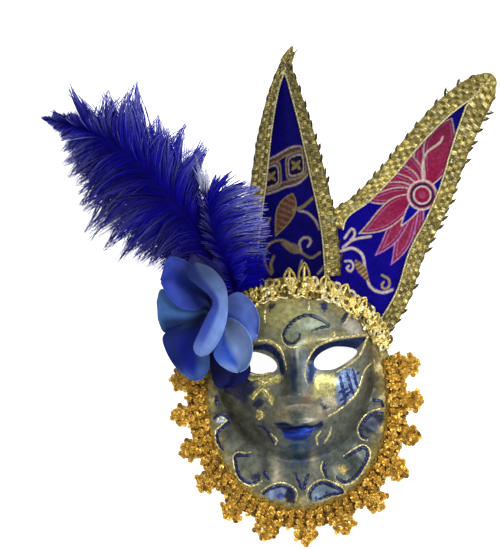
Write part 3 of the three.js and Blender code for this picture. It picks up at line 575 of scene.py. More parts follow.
GOLD_LINES = [
    [(66, -7), (58.9, -12.3), (55.1, -20.8), (50, -31.4), (43.1, -37.6), (36.2, -42.6), (31.6, -45.6),
     (24, -49)],
    [(9, -21.7), (6.5, -13.3), (8.2, -3.6), (11.7, 2.8), (17.7, 10.6), (32.3, 16), (46.6, 17), (63.2, 16.1),
     (60.9, 10.6), (54.2, -0.5), (43.9, -7.5), (32.6, -12.6)],  # round the right eye
    [(-62, 16.5), (-46, 17.5), (-34, 18.6), (-25, 18.8), (-18, 17), (-11.4, 9.8), (-8.3, -1.4),
     (-7.7, -6.9)],
    [(-60, 12), (-53, 2), (-43, -7), (-32, -10.4), (-20, -8.6)],  # round the left eye
    [(-10.4, 24), (-10.1, 20.6), (-7.4, 14), (-1.9, 11.6), (4, 13)],  # by the forehead scroll
    [(-28.4, -58.1), (-22.7, -62.2), (-19.3, -66.9), (-21.8, -71.3)],  # beside the mouth
    [(17.7, -60.4), (13.6, -66.1), (14.6, -73.6)],
    [(26.8, -58), (24.8, -65.3), (19.9, -72.5)],
    [(34, 23), (34, 17)],
    [(-42.2, -10.7), (-38.2, -13.8), (-32.1, -13.1), (-27, -16.6), (-18.7, -12.6),
     (-13.8, -13.6)],  # left cheek
    [(-38.6, -30.7), (-33.6, -24.7), (-29.2, -21.8), (-25.8, -24.5), (-24, -29.5), (-21.6, -35.7)],
    [(-35.4, -39.4), (-31, -42), (-31.6, -46.6), (-35, -48)],
    [(14.8, 50), (14.2, 41)],  # drips on the forehead
    [(-22.5, 45), (-23.6, 38), (-23, 33)],
]
CHECK_LINES = [
    [(36.8, -15), (37.3, -21.5), (38.5, -27), (39, -32.4), (40.7, -38.2)],  # right cheek
    [(42.3, -12.6), (43.5, -18.3), (44.1, -22.6), (45.6, -27.5), (47.4, -32.3)],
    [(47.5, -10.6), (48.5, -15.7), (49.1, -19.9), (50.3, -24.2), (51.9, -27)],
    [(33.6, -29), (38.1, -27.6), (43, -25.8)],
    [(34.7, -36), (38.9, -33.6), (42.1, -30.2), (45.8, -28.4)],
    [(35.8, -40.2), (40.4, -37.4)],
    [(51.5, -13.4), (52.3, -16)],
]


def cord_mesh(name, lines, colour_name, sides=6):
    """Round cords as one mesh. Each line is its points on the mask, a radius and a colour."""
    curve = bpy.data.curves.new(name, "CURVE")
    curve.dimensions = "3D"
    curve.bevel_depth = 0.001
    curve.bevel_resolution = sides // 2 - 2
    colours = []
    for points, radius, colour in lines:
        apart = np.concatenate([[True], np.linalg.norm(np.diff(points, axis=0), axis=1) > 0.05])
        radius = np.array(np.broadcast_to(radius, len(points)), float)[apart]
        colour = np.broadcast_to(colour, (len(points), 3))[apart]
        points = points[apart]
        if len(points) < 2:
            continue
        ends = points[[0, -1]] - points[[1, -2]]
        ends *= 0.6 * radius[[0, -1], None] / np.linalg.norm(ends, axis=1, keepdims=True)
        placed = np.ones((len(points) + 2, 4))
        placed[:, :3] = in_frame(np.vstack([points[0] + ends[0], points, points[-1] + ends[1]]))
        strand = curve.splines.new("POLY")
        strand.points.add(len(placed) - 1)
        strand.points.foreach_set("co", placed.ravel())
        strand.points.foreach_set("radius", np.concatenate([[0], radius, [0]]))
        colours.append(np.repeat(np.vstack([colour[:1], colour, colour[-1:]]), sides, axis=0))
    cords = bpy.data.objects.new(name, curve)
    bpy.context.scene.collection.objects.link(cords)
    select_only(cords)
    bpy.ops.object.convert(target="MESH")
    cords = bpy.context.object
    colour_attribute(cords, colour_name, np.concatenate(colours))
    bpy.ops.object.mode_set(mode="EDIT")
    bpy.ops.mesh.select_all(action="SELECT")
    bpy.ops.mesh.remove_doubles(threshold=0.000001)
    bpy.ops.object.mode_set(mode="OBJECT")
    return cords


def paint_line(points, half_width, colour):
    """A hand-drawn bead of paint on the face through points, uneven and thinner at both ends."""
    flat = even_curve(points, 0.9)
    sunk = face_height(flat[:, 0], flat[:, 1]) - 0.6 * half_width
    swell = 0.5 + 0.5 * np.sin(np.linspace(0, math.pi, len(flat))) ** 0.4
    uneven = 1 + 0.12 * np.sin(flat[:, 0] + 1.3 * flat[:, 1])
    return np.column_stack([flat, sunk]), half_width * swell * uneven, tint(colour)


def beside(points, distance):
    flat = even_curve(points, 0.9)
    heading = np.gradient(flat, axis=0)
    heading /= np.linalg.norm(heading, axis=1, keepdims=True)
    return flat + distance * np.stack([-heading[:, 1], heading[:, 0]], axis=1)


glitter_paint = new_finish("glitter_paint")
flakes = add_texture(glitter_paint, "Voronoi", "Color", Scale=1000.0)
# painted glints: the flakes vary in tone, and the brightest are up to three times the paint's colour
glints = ramp(glitter_paint, flakes, (0, (0.3, 0.3, 0.26, 1)), (0.6, 1), (1, 3.0))
shade(
    glitter_paint, Base_Color=multiplied(glitter_paint, kept(glitter_paint, "paint"), glints),
    Normal=relief(glitter_paint, flakes, 0.5, 0.0005), Metallic=0.45, Roughness=0.32)

blue_beads, gold_beads = [], []
for points, gold_side in BLUE_LINES:
    colour = TEAL_GLITTER if points[0][1] > 0 else NAVY_GLITTER  # the forehead's lines are darker
    blue_beads.append(paint_line(points, BLUE_HALF_WIDTH, colour))
    if gold_side:
        follower = beside(points, gold_side * GOLD_APART)[1:-1:3]
        gold_beads.append(paint_line(follower, GOLD_EDGE_HALF_WIDTH, GOLD_GLITTER))
blue_beads += [paint_line(points, CHECK_HALF_WIDTH, CHECK_GLITTER) for points in CHECK_LINES]
gold_beads += [paint_line(points, GOLD_HALF_WIDTH, GOLD_GLITTER) for points in GOLD_LINES]
for name, beads in (("blue_glitter_lines", blue_beads), ("gold_glitter_lines", gold_beads)):
    lines = cord_mesh(name, beads, "paint")
    # the beads are flat below, where they reach into the ground coat
    places = on_mask(lines)
    places[:, 2] = np.maximum(places[:, 2], face_height(places[:, 0], places[:, 1]) - BEAD_SUNK)
    move_vertices(lines, in_frame(places))
    dress(lines, glitter_paint, 60)
    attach(lines, "root")


# Cloth horns
# Two flat pointed horns of blue silk brocade over stiff card, glued by their wide ends under the edge of
# the forehead. The cloth is woven with a crimson flower, pale vines and a band of framed medallions.

LEFT_HORN = [
    # left edge x, y, right edge x, y, from the forehead to the tip
    (-42, 55, 42, 56), (-35, 105, 41.5, 108), (-25.5, 153, 35, 155), (-16, 197, 26.5, 197),
    (-4.5, 233, 16.5, 236), (4, 251, 12.5, 251), (11.5, 263, 15, 263),
]
RIGHT_HORN = [
    (40, 56, 78, 13), (39.8, 92, 100, 45), (41.5, 121, 115, 82), (63, 136, 130, 107), (87, 158, 143, 132),
    (112, 185, 157, 165), (144, 215, 171, 193), (172, 231, 184, 218), (180, 231, 184, 226),
]
HORN_THICKNESS, HORN_LIFT, TIP_LIFT, HORN_CROWN = 2.4, 2.7, 9, 8
SILK_BLUE, SILK_SHADE, SILK_NIGHT, SILK_PLUM = (14, 4, 128), (6, 2, 84), (20, 12, 60), (40, 16, 60)
CRIMSON, ROSE, LILAC_THREAD, CREAM_THREAD = (126, 22, 60), (140, 50, 82), (160, 116, 168), (186, 170, 160)
DULL_GOLD, BRONZE_THREAD, PALE_BRONZE = (150, 132, 90), (112, 76, 58), (150, 112, 96)
LEFT_HORN_SHADE, RIGHT_HORN_SHADE = 0.34, 0.85  # painted shade: both horns' cloth is darkened, the left one much more
BAND_EDGES = [
    # an edge of the band of medallions, and the side on which its other threads lie
    ([(-26, 168), (-11, 173), (-5, 175), (1, 178), (9, 181.5), (17, 182), (21, 177), (30, 174)], -1),
    ([(-30, 141), (-16, 143), (-7, 145), (2, 148), (12, 150), (19, 155), (24, 160), (32, 162)], 1),
]
BAND_THREADS = [(0, 0.8, CREAM_THREAD), (2.6, 1.0, BRONZE_THREAD), (4.6, 0.6, DULL_GOLD)]
LEFT_VINES = [
    ([(-15, 74), (-19, 81), (-20, 91), (-15, 100), (-5, 103), (5, 97), (12, 91), (20, 86),
      (28, 90)], 1.0, DULL_GOLD),
    ([(12, 91), (11, 100), (16, 104), (21, 101), (18, 96)], 1.0, CREAM_THREAD),
    ([(12, 127), (19, 125), (25, 119), (29, 110)], 0.9, CREAM_THREAD),
    ([(26, 138), (15, 130), (7, 128)], 1.3, DULL_GOLD),
    ([(-27, 112), (-16, 118), (-13, 122)], 0.9, DULL_GOLD),
    ([(-12, 89), (-15, 83), (-14, 76)], 1.2, DULL_GOLD),
    ([(12, 84), (9, 76)], 0.9, CREAM_THREAD),
    ([(25, 72), (30, 77), (33, 84)], 0.9, CREAM_THREAD),
]
RIGHT_VINES = [
    ([(120, 146), (120, 156), (124, 169), (137, 178), (139, 182)], 0.9, CREAM_THREAD),
    ([(46, 90), (56, 92), (64, 86), (66, 72), (70, 57), (80, 52), (88, 54)], 1.1, CREAM_THREAD),
    ([(48, 93), (57, 99), (72, 101)], 1.0, CREAM_THREAD),
    ([(50, 101), (57, 109), (59, 104), (55, 99)], 0.9, CREAM_THREAD),
    ([(80, 67), (85, 64), (86, 58), (82, 55), (79, 58), (81, 61)], 0.9, DULL_GOLD),
    ([(49, 81), (54, 81), (56, 76), (53, 72), (50, 75), (52, 77)], 0.8, CREAM_THREAD),
]
FLOWER_HEART = 118.5, 133.5
FLOWER_PETALS = [
    # heading, length, half width, and how near its end each petal is widest
    (256, 48, 6.5, 0.75), (86, 52, 7.5, 0.9), (106, 50, 7, 0.9), (126, 48, 6.5, 0.9), (146, 48, 6.5, 0.9),
    (163, 50, 6, 0.9), (178, 54, 6.5, 0.9), (242, 66, 8, 1), (228, 66, 7.5, 1), (207, 64, 10, 0.9),
    (65, 71, 14, 1.3),
]
FLOWER_RINGS = [
    # outer radius and colour of the rings of the heart
    (13.2, CREAM_THREAD), (11.6, ROSE), (10.4, SILK_PLUM), (8.2, CREAM_THREAD), (6.8, CRIMSON), (3.4, ROSE),
]


def horn_edges(rows, along):
    rows = np.asarray(rows, float)
    return smooth_curve(rows[:, :2], along), smooth_curve(rows[:, 2:], along)


def horn_top(rows, along, across):
    """Places on the upper side of a horn: along from forehead to tip, across from left to right edge."""
    left, right = horn_edges(rows, along)
    flat = left + (right - left) * np.asarray(across)[:, None]
    crown = np.sin(np.pi * np.clip(across, 0, 1)) ** 2
    bulge = HORN_CROWN * smooth(along, 0.08, 0.4) * np.sqrt(1 - along) * crown
    return np.column_stack([flat, HORN_LIFT + TIP_LIFT * along ** 2 + bulge])


def leaf_inside(x, y, root, heading, length, half_width, sway=0.0, fullness=0.75):
    """How far inside a pointed leaf each place lies, millimetres, and its share along the leaf."""
    turn = math.radians(heading)
    x, y = x - root[0], y - root[1]
    along = (x * math.cos(turn) + y * math.sin(turn)) / length
    off = y * math.cos(turn) - x * math.sin(turn) + sway * np.sin(6 * along)
    inside = half_width * np.sin(np.pi * np.clip(along, 0, 1) ** fullness) - np.abs(off)
    return np.where((along > 0) & (along < 1), inside, -half_width), along


def stripe(value, middle, inner, outer):
    """1 where a value is near the middle one, fading to 0 from the inner to the outer distance."""
    return 1 - smooth(np.abs(value - middle), inner, outer)


def weave_line(cloth, x, y, points, half_width, colour):
    """Weaves a thread through points into the cloth."""
    cover = np.zeros_like(x)
    stations = even_curve(points, 2.5)
    for (x0, y0), (x1, y1) in zip(stations, stations[1:]):
        run_x, run_y = x1 - x0, y1 - y0
        share = np.clip(((x - x0) * run_x + (y - y0) * run_y) / (run_x ** 2 + run_y ** 2), 0, 1)
        distance = np.hypot(x - x0 - share * run_x, y - y0 - share * run_y) - half_width
        cover = np.maximum(cover, 1 - smooth(distance, -0.4, 0.5))
    lay(cloth, colour, cover)


def silk_ground(x, y):
    """Blue silk with a faint darker damask figure."""
    figure = 0.5 + 0.5 * np.sin(x * 0.42 + 2 * np.sin(y * 0.21)) * np.sin(y * 0.36 + 2 * np.sin(x * 0.19))
    cloth = all_over(SILK_BLUE, len(x))
    lay(cloth, SILK_SHADE, 0.6 * figure)
    return cloth


def left_brocade(x, y):
    """A band of two medallions between wavy lines, with a ribbed leaf and scrolls below it."""
    cloth = silk_ground(x, y)
    for edge, inwards in BAND_EDGES:
        for offset, half_width, colour in BAND_THREADS:
            weave_line(cloth, x, y, [(px, py + offset * inwards) for px, py in edge], half_width, colour)
    for centre in ((-10, 158), (12, 166)):
        tilted_y = y - centre[1] - 0.25 * (x - centre[0])
        frame_off = ((np.abs(x - centre[0]) / 8.6) ** 4 + (np.abs(tilted_y) / 11) ** 4) ** 0.25
        lay(cloth, DULL_GOLD, stripe(frame_off, 1, 0.05, 0.12))
        lay(cloth, SILK_NIGHT, 1 - smooth(frame_off, 0.78, 0.86))
        lay(cloth, CREAM_THREAD, stripe(frame_off, 0.76, 0.03, 0.1))
        for turn in (45, 135, 225, 315):
            inside, along = leaf_inside(x, y, centre, turn, 6.4, 1.7)
            lay(cloth, DULL_GOLD, smooth(inside, -0.2, 0.6))
    inside, along = leaf_inside(x, y, (8, 142), 244, 40, 8)
    rib = 0.5 + 0.5 * np.sin(along * 52)
    lay(cloth, BRONZE_THREAD, smooth(inside, 0, 0.8))
    lay(cloth, PALE_BRONZE, smooth(inside, 0.8, 1.6) * smooth(rib, 0.55, 0.9))
    lay(cloth, DULL_GOLD, stripe(inside, 0.5, 0.4, 1.0))
    inside, along = leaf_inside(x, y, (13, 91), 152, 22, 4.5)
    lay(cloth, DULL_GOLD, smooth(inside, 0, 0.8) * 0.8)
    for points, half_width, colour in LEFT_VINES:
        weave_line(cloth, x, y, points, half_width, colour)
    return cloth


def right_brocade(x, y):
    """A crimson flower round a ringed heart, with vines and a small ribbed leaf below it."""
    cloth = silk_ground(x, y)
    for heading, length, half_width, fullness in FLOWER_PETALS:
        inside, along = leaf_inside(x, y, FLOWER_HEART, heading, length, half_width, 1.8, fullness)
        lay(cloth, CRIMSON, smooth(inside, 0, 0.5))
        lay(cloth, ROSE, smooth(inside, 1.5, 5) * smooth(along, 0.25, 0.6) * 0.5)
        lay(cloth, LILAC_THREAD, 0.5 * stripe(inside, 3.2, 0.2, 0.7) * smooth(along, 0.2, 0.4))
        edge_thread = LILAC_THREAD if heading > 210 else CREAM_THREAD
        lay(cloth, edge_thread, 0.85 * stripe(inside, 0.5, 0.3, 0.9))
    inside, along = leaf_inside(x, y, FLOWER_HEART, 232, 32, 4.5)
    lay(cloth, CREAM_THREAD, smooth(inside, -1, -0.4))
    lay(cloth, SILK_BLUE, smooth(inside, 0, 0.5))
    reach = np.hypot(x - FLOWER_HEART[0], y - FLOWER_HEART[1])
    for outer, colour in FLOWER_RINGS:
        lay(cloth, colour, 1 - smooth(reach, outer - 0.5, outer + 0.3))
    for points, half_width, colour in RIGHT_VINES:
        weave_line(cloth, x, y, points, half_width, colour)
    inside, along = leaf_inside(x, y, (58, 82), 298, 24, 4)
    lay(cloth, BRONZE_THREAD, smooth(inside, 0, 0.7))
    lay(cloth, DULL_GOLD, smooth(inside, 0, 0.7) * smooth(np.sin(along * 45), 0, 0.6))
    return cloth * (1 - 0.4 * smooth(y, 150, 195))[:, None]  # painted shade, darker towards the tip


brocade = new_finish("silk_brocade")
slub = add_texture(brocade, "Noise", Scale=420.0, Detail=4.0)
dyed = multiplied(brocade, kept(brocade, "cloth"), ramp(brocade, slub, (0.3, 0.6), (0.75, 1.25)))
crossed = add_node(brocade, "Math", "Value", {"operation": "MAXIMUM"})
for number, way in enumerate("YX"):
    thread = add_texture(brocade, "Wave", settings={"bands_direction": way}, Scale=420.0, Distortion=1.0)
    brocade.node_tree.links.new(thread, crossed.node.inputs[number])
woven = relief(brocade, crossed, 0.3, 0.0003)
shade(brocade, Base_Color=dyed, Normal=woven, Roughness=0.55, Specular_IOR_Level=0.02)

for node, rows, figure, dye in (
    ("left_horn", LEFT_HORN, left_brocade, LEFT_HORN_SHADE), ("right_horn", RIGHT_HORN, right_brocade, RIGHT_HORN_SHADE),
):
    horn, down, over = new_grid(node + "_cloth", 110, 280)
    places = horn_top(rows, down, over)
    places[:, 2] += 0.3 * np.sin(places[:, 0] * 0.21 + places[:, 1] * 0.13) * np.sin(places[:, 1] * 0.19)
    move_vertices(horn, in_frame(places))
    apply_modifier(horn, "SOLIDIFY", thickness=HORN_THICKNESS / 1000, offset=-1)
    # the cloth colours are multiplied by the horn's painted shade
    colour_attribute(horn, "cloth", dye * figure(*on_mask(horn).T[:2]))
    dress(horn, brocade, 50)
    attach(horn, "root")
    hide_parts(node)


# Horn braids
# Woven gimp braid of gilt thread, about 13 mm wide, sewn flat along both edges of each horn. It has three
# columns of small woven squares, a cord at each side and spiky loops on its outer edge.

BRAID_SQUARE, BRAID_STRAND, EDGE_CORD = 3.5, 0.7, 0.9
BRAID_COLUMNS = (0.9, 4.5, 8.1)
GILT_BRIGHT, GILT_MIDDLE = (206, 190, 116), (156, 143, 78)
GILT_DARK, GILT_CREAM = (78, 70, 32), (226, 216, 172)
BRAIDS = [
    # node, horn, on its right edge, share of the horn where it starts, reach of its loops, painted shade at
    # start and tip, how much wider (+) or narrower (-) it gets, and the share of the horn where that begins
    ("left_horn_braid_left", LEFT_HORN, False, 0.1, 2.6, 0.56, 0.48, -0.45, 0.3),
    ("left_horn_braid_right", LEFT_HORN, True, 0.042, 4.2, 0.82, 0.18, -0.45, 0.3),
    ("right_horn_braid_left", RIGHT_HORN, False, 0.215, 4.6, 0.95, 0.8, 0.4, 0.5),
    ("right_horn_braid_right", RIGHT_HORN, True, 0.01, 4.6, 0.72, 0.85, 0.75, 0.5),
]


def braid_place(rows, on_right, along, inward, lift):
    """Places over a horn near one edge: inward is the distance from that edge."""
    along, inward = np.broadcast_arrays(np.asarray(along, float), np.asarray(inward, float))
    left, right = horn_edges(rows, along)
    width = np.linalg.norm(right - left, axis=1)
    share = np.minimum(inward, width / 2 - 0.4) / width
    places = horn_top(rows, along, 1 - share if on_right else share)
    places[:, 2] += lift
    return places


def ribbon_mesh(name, place, columns, rows, thickness, colour):
    """A flat strip: place gives its upper side for shares down and over it, thickness in millimetres."""
    strip, down, over = new_grid(name, columns, rows)
    move_vertices(strip, in_frame(place(down, over)))
    face_outwards()
    upward = sum(face.normal.z for face in strip.data.polygons) > 0
    apply_modifier(strip, "SOLIDIFY", thickness=thickness / 1000, offset=-1 if upward else 1)
    colour_attribute(strip, "thread", all_over(colour, len(strip.data.vertices)))
    return strip


def join_pieces(name, *pieces):
    select_only(*pieces)
    bpy.ops.object.join()
    pieces[0].name = name
    return pieces[0]


def metal_thread(name, roughness, dulled):
    """Gilt thread: the colour of each strand, broken up by fine twist and dull spots."""
    gilt = new_finish(name)
    spots = add_texture(gilt, "Noise", Scale=700.0, Detail=5.0, Roughness=0.7)
    worn = ramp(gilt, spots, (0.36, (dulled, 0.9 * dulled, 0.67 * dulled, 1)), (0.62, (1.35, 1.35, 1.3, 1)))
    twist = add_texture(gilt, "Wave", settings={"bands_direction": "DIAGONAL"}, Scale=500.0, Distortion=3.0)
    dulled_colour, twisted = multiplied(gilt, kept(gilt, "thread"), worn), relief(gilt, twist, 0.6, 0.0004)
    shade(gilt, Base_Color=dulled_colour, Normal=twisted, Metallic=0.6, Roughness=roughness)
    return gilt


def thread_colour(colour, chance, spread):
    """The colour of one strand, a little lighter or darker than the next."""
    return tint(colour) * chance.uniform(1 - spread, 1 + spread)


def braid_end(rows):
    """Strands, as flat places and a radius, that finish the braids at the tip of a horn."""
    tip, back = (sum(edge[0] for edge in horn_edges(rows, np.array([share]))) / 2 for share in (0.985, 0.93))
    axis = (tip - back) / np.linalg.norm(tip - back)
    sideways = np.array([axis[1], -axis[0]])
    if rows is LEFT_HORN:
        # the ends of both braids are bound to a point, with one loose end
        for tail in range(7):
            aside = (tail - 3) * 1.5 * np.array([1, 0.85, 0.5, 0.12])
            if tail == 6:
                aside = aside + np.array([0, 0, 1.5, 4.5])
            bound = np.outer([-9, -4, 1.5, 6.5], axis) + np.outer(aside, sideways)
            yield tip + bound, np.array([1.1, 1.1, 0.9, 0.35])
        return
    # the end is turned round the point of the horn and sewn down
    for turn in np.radians(np.linspace(-105, 105, 27)):
        outward = axis * math.cos(turn) + sideways * math.sin(turn)
        yield tip + (np.outer([2.0, 4.8, 7.8], outward) - 3.5 * axis), 0.75
    turn = np.radians(np.linspace(-110, 110, 16))
    for reach in (1.8, 8.4):
        round_tip = reach * (np.outer(np.cos(turn), axis) + np.outer(np.sin(turn), sideways))
        yield tip + (round_tip - 3.5 * axis), EDGE_CORD


braid_gilt = metal_thread("braid_gilt", 0.4, 0.3)
chance = np.random.default_rng(7)
for node, rows, on_right, start, loop_reach, start_painted_shade, tip_painted_shade, spread_out, spread_from in BRAIDS:
    along = np.linspace(start, 1, 500)
    run = run_along(braid_place(rows, on_right, along, 4.0, 0))
    length = run[-1]
    strands = []

    def widening(share):
        return 1 + spread_out * smooth(share, spread_from, spread_from + 0.45)

    def add_strand(run_places, inward, lift, radius, colour, spread):
        """Adds a strand at distances along the braid and inward from the horn's edge, flat at its start."""
        run_places = np.clip(run_places, 0, length)
        pressed = 0.3 + 0.7 * smooth(run_places, 0, 8)
        share = np.interp(run_places, run, along)
        points = braid_place(rows, on_right, share, inward * widening(share), lift * pressed)
        # the strand's colour takes the braid's painted shade at its place along the braid
        tone = np.interp(run_places.mean(), [0, length], [start_painted_shade, tip_painted_shade])
        strands.append((points, radius, tone * thread_colour(colour, chance, spread)))

    sweep = np.linspace(-1, 1, 4)
    for square in range(int(length / BRAID_SQUARE)):
        middle = (square + 0.5) * BRAID_SQUARE
        for column, inward in enumerate(BRAID_COLUMNS):
            worn = chance.uniform(0.78, 1.15)
            for offset in (-1, 0, 1):
                slack = chance.uniform(-0.3, 0.3) * sweep
                if (square + column) % 2:
                    colour = worn * np.array(GILT_CREAM if chance.random() < 0.2 else GILT_BRIGHT)
                    add_strand(middle + 1.15 * offset + slack, inward + 2.0 * sweep, 2.8 - 1.0 * sweep ** 2,
                               BRAID_STRAND, colour, 0.35)
                else:
                    add_strand(middle + 1.9 * sweep, inward + 1.2 * offset + slack, 1.9 - 0.4 * sweep ** 2,
                               BRAID_STRAND, worn * np.array(GILT_MIDDLE), 0.45)
    stops = np.linspace(0, length, int(length / 1.1))
    wobble = 1 + 0.22 * np.sin(stops * 3.2)
    add_strand(stops, 11.0, 1.7, EDGE_CORD * wobble, GILT_CREAM, 0)
    add_strand(stops, -1.7, 1.3, EDGE_CORD * wobble, GILT_MIDDLE, 0)
    picot = 3.0
    while picot < length - 9:
        reach = loop_reach * chance.uniform(0.55, 1.25)
        add_strand(picot + np.array([0, 2.4, 5.0, 7.8]), -reach * np.array([0.2, 0.55, 0.85, 1.05]), 1.4,
                   np.array([0.8, 1.3, 1.0, 0.25]), GILT_DARK, 0.5)
        add_strand(picot + np.array([4.6, 5.2, 6.4]), -reach * np.array([0.2, 0.6, 0.8]), 1.4,
                   np.array([0.6, 0.6, 0.3]), GILT_MIDDLE, 0.5)
        picot += chance.uniform(6.5, 14.0)
    if not on_right:
        for number, (flat, radius) in enumerate(braid_end(rows)):
            height = HORN_LIFT + TIP_LIFT + 1.7 + 0.3 * (number % 3)
            colour = (GILT_BRIGHT, GILT_MIDDLE)[number // 3 % 2]
            strands.append((np.column_stack([flat, np.full(len(flat), height)]), radius,
                            tip_painted_shade * thread_colour(colour, chance, 0.35)))

    def braid_backing(down, over):
        share = start + (1 - start) * down
        return braid_place(rows, on_right, share, (-1.8 + 12.8 * over) * widening(share), 1.3)

    cords = cord_mesh(node + "_cords", strands, "thread")
    backing = ribbon_mesh(node + "_backing", braid_backing, 6, 120, 0.8, GILT_DARK)
    braid = join_pieces(node + "_gimp", cords, backing)
    dress(braid, braid_gilt, 60)
    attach(braid, "root")
    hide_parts(node)


# Brow braid
# A gilt scroll braid glued over the edge of the forehead, where it hides the ends of the horns: looped
# rosettes of cord in a row, with a pointed leaf of cord standing up between each two.

BROW_FROM, BROW_TO, BROW_FALL = math.radians(26.5), math.radians(153.5), 0.45
ROSETTE_CORD, LEAF_CORD, KNOT_CORD = 1.5, 1.2, 1.1
BROW_BRIGHT, BROW_MIDDLE = (228, 208, 128), (176, 156, 84)
# BROW_CREAM stands partly for painted highlights, and BROW_DARK partly for painted shade on the cord
BROW_DARK, BROW_CREAM = (112, 96, 46), (246, 236, 188)
BROW_THREADS = (BROW_BRIGHT, BROW_CREAM, BROW_MIDDLE, BROW_BRIGHT, BROW_CREAM, BROW_DARK)
BROW_ROSETTES = np.array([
    # degrees round the rim, distance of the middle outside it and radius
    (30, 0.5, 7), (38.5, 0, 8), (47.5, -0.5, 9), (57.5, -1.5, 9), (68, -2.5, 9.5), (79, -4.5, 9.5),
    (89, -5, 9), (99, -4.5, 9.5), (109, -3, 9.5), (119, -2, 9), (129, -1.5, 9), (139, -1, 8.5),
    (149, -0.5, 8),
])
BROW_LEAVES = [
    # degrees round the rim, and length: two of them are longer
    (34, 8), (43, 8), (52.5, 9), (63, 9), (73, 9), (83.3, 16), (90, 11), (104, 9), (114, 9), (124, 9),
    (134, 8), (144, 8),
]


def over_rim(angle, past, lift, fall):
    """Places over the edge of the shell: past is the distance outside the rim, where the trim droops."""
    angle, past = np.broadcast_arrays(np.asarray(angle, float), np.asarray(past, float))
    reach = rim_radius(angle) + past
    held = np.minimum(reach, rim_radius(angle) - 0.2)
    height = face_height(held * np.cos(angle), POLE_Y + held * np.sin(angle))
    height = height + lift - fall * np.maximum(0, past)
    return np.column_stack([reach * np.cos(angle), POLE_Y + reach * np.sin(angle), height])


def rosette(middle, past, radius, loops, cord, colours, chance, fall):
    """Crocheted loops of cord round a knot over the rim, each its own colour, with painted light and shade.
    """
    turn = np.linspace(0, 2 * math.pi, 9)
    first = chance.uniform(0, 2 * math.pi)
    round_rim = rim_radius(middle) + past
    strands = []
    for loop in range(loops):
        heading = first + (loop + chance.uniform(-0.2, 0.2)) * 2 * math.pi / loops
        size = radius * chance.uniform(0.34, 0.44)
        ahead, aside = radius * chance.uniform(0.5, 0.62) + size * np.cos(turn), 0.8 * size * np.sin(turn)
        sideways = ahead * math.cos(heading) - aside * math.sin(heading)
        outward = ahead * math.sin(heading) + aside * math.cos(heading)
        dome = 3.6 + chance.uniform(-0.5, 0.7) - 0.02 * (sideways ** 2 + outward ** 2) + 0.7 * np.sin(turn)
        colour = colours[chance.integers(len(colours))]
        strands.append((
            over_rim(middle + sideways / round_rim, past + outward, dome, fall),
            cord * (1 + 0.2 * np.sin(5 * turn)), thread_colour(colour, chance, 0.3)))
    # the knot is a flat spiral
    share = np.linspace(0, 1, 13)
    turn = first + share * 1.7 * 2 * math.pi
    reach = 0.5 + (0.42 * radius - 0.5) * share
    knot = over_rim(middle + reach * np.cos(turn) / round_rim, past + reach * np.sin(turn), 4.2, fall)
    strands.append((knot, cord, thread_colour(colours[0], chance, 0.2)))
    return strands


def brow_inside(angle):
    """Distance from the rim to the lower edge of the brow braid."""
    return np.interp(np.degrees(angle), BROW_ROSETTES[:, 0], BROW_ROSETTES[:, 1] - 0.9 * BROW_ROSETTES[:, 2])


def brow_backing(down, over):
    angle = BROW_FROM + (BROW_TO - BROW_FROM) * down
    return over_rim(angle, brow_inside(angle) + (4 - brow_inside(angle)) * over, 1.6, BROW_FALL)


chance = np.random.default_rng(11)
strands = []
for degrees, past, radius in BROW_ROSETTES:
    strands += rosette(math.radians(degrees), past, radius, 6, ROSETTE_CORD, BROW_THREADS, chance, BROW_FALL)
for degrees, tip in BROW_LEAVES:
    edge = math.radians(degrees)
    half_leaf = [(-3.6, -1), (-4.2, 0.4 * tip), (-1.8, 0.8 * tip)]
    leaf = even_curve(half_leaf + [(0, tip)] + [(-aside, out) for aside, out in half_leaf[::-1]], 1.6)
    strands.append((over_rim(edge + leaf[:, 0] / 100, leaf[:, 1], 3.0, BROW_FALL), LEAF_CORD,
                    thread_colour(BROW_MIDDLE, chance, 0.2)))
    rib = np.linspace(-1, 0.8 * tip, 7)
    strands.append((over_rim(edge, rib, 2.9, BROW_FALL), LEAF_CORD, thread_colour(BROW_BRIGHT, chance, 0.2)))
    for past in (-7.5, -2.6):
        beside_edge = edge + chance.uniform(-0.01, 0.01)
        strands += rosette(beside_edge, past, 3.2, 3, KNOT_CORD, BROW_THREADS, chance, BROW_FALL)
sweep = np.linspace(BROW_FROM, BROW_TO, 260)
strands.append((over_rim(sweep, brow_inside(sweep) + 0.7 * np.cos(sweep * 60), 1.5, BROW_FALL), EDGE_CORD,
                thread_colour(BROW_CREAM, chance, 0)))
cords = cord_mesh("brow_cords", strands, "thread")
backing = ribbon_mesh("brow_backing", brow_backing, 12, 120, 0.8, BROW_DARK)
brow = join_pieces("brow_scroll_braid", cords, backing)
dress(brow, metal_thread("scroll_braid_gilt", 0.36, 0.3), 60)
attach(brow, "root")
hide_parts("brow_braid")


# Collar lace
# Stiff crochet lace of amber-gold metallic cord, glued along the rim of the collar from temple to temple:
# a close band of small rosettes, and thirteen clusters of larger ones that stand out from it.

LACE_CLUSTERS, LACE_PITCH, LACE_RINGS, LACE_FALL = 13, math.radians(17.2), 46, 0.22
LACE_CORD, RING_CORD = 1.55, 1.2
LACE_START, LACE_SWEEP = math.radians(-201.8), LACE_CLUSTERS * LACE_PITCH
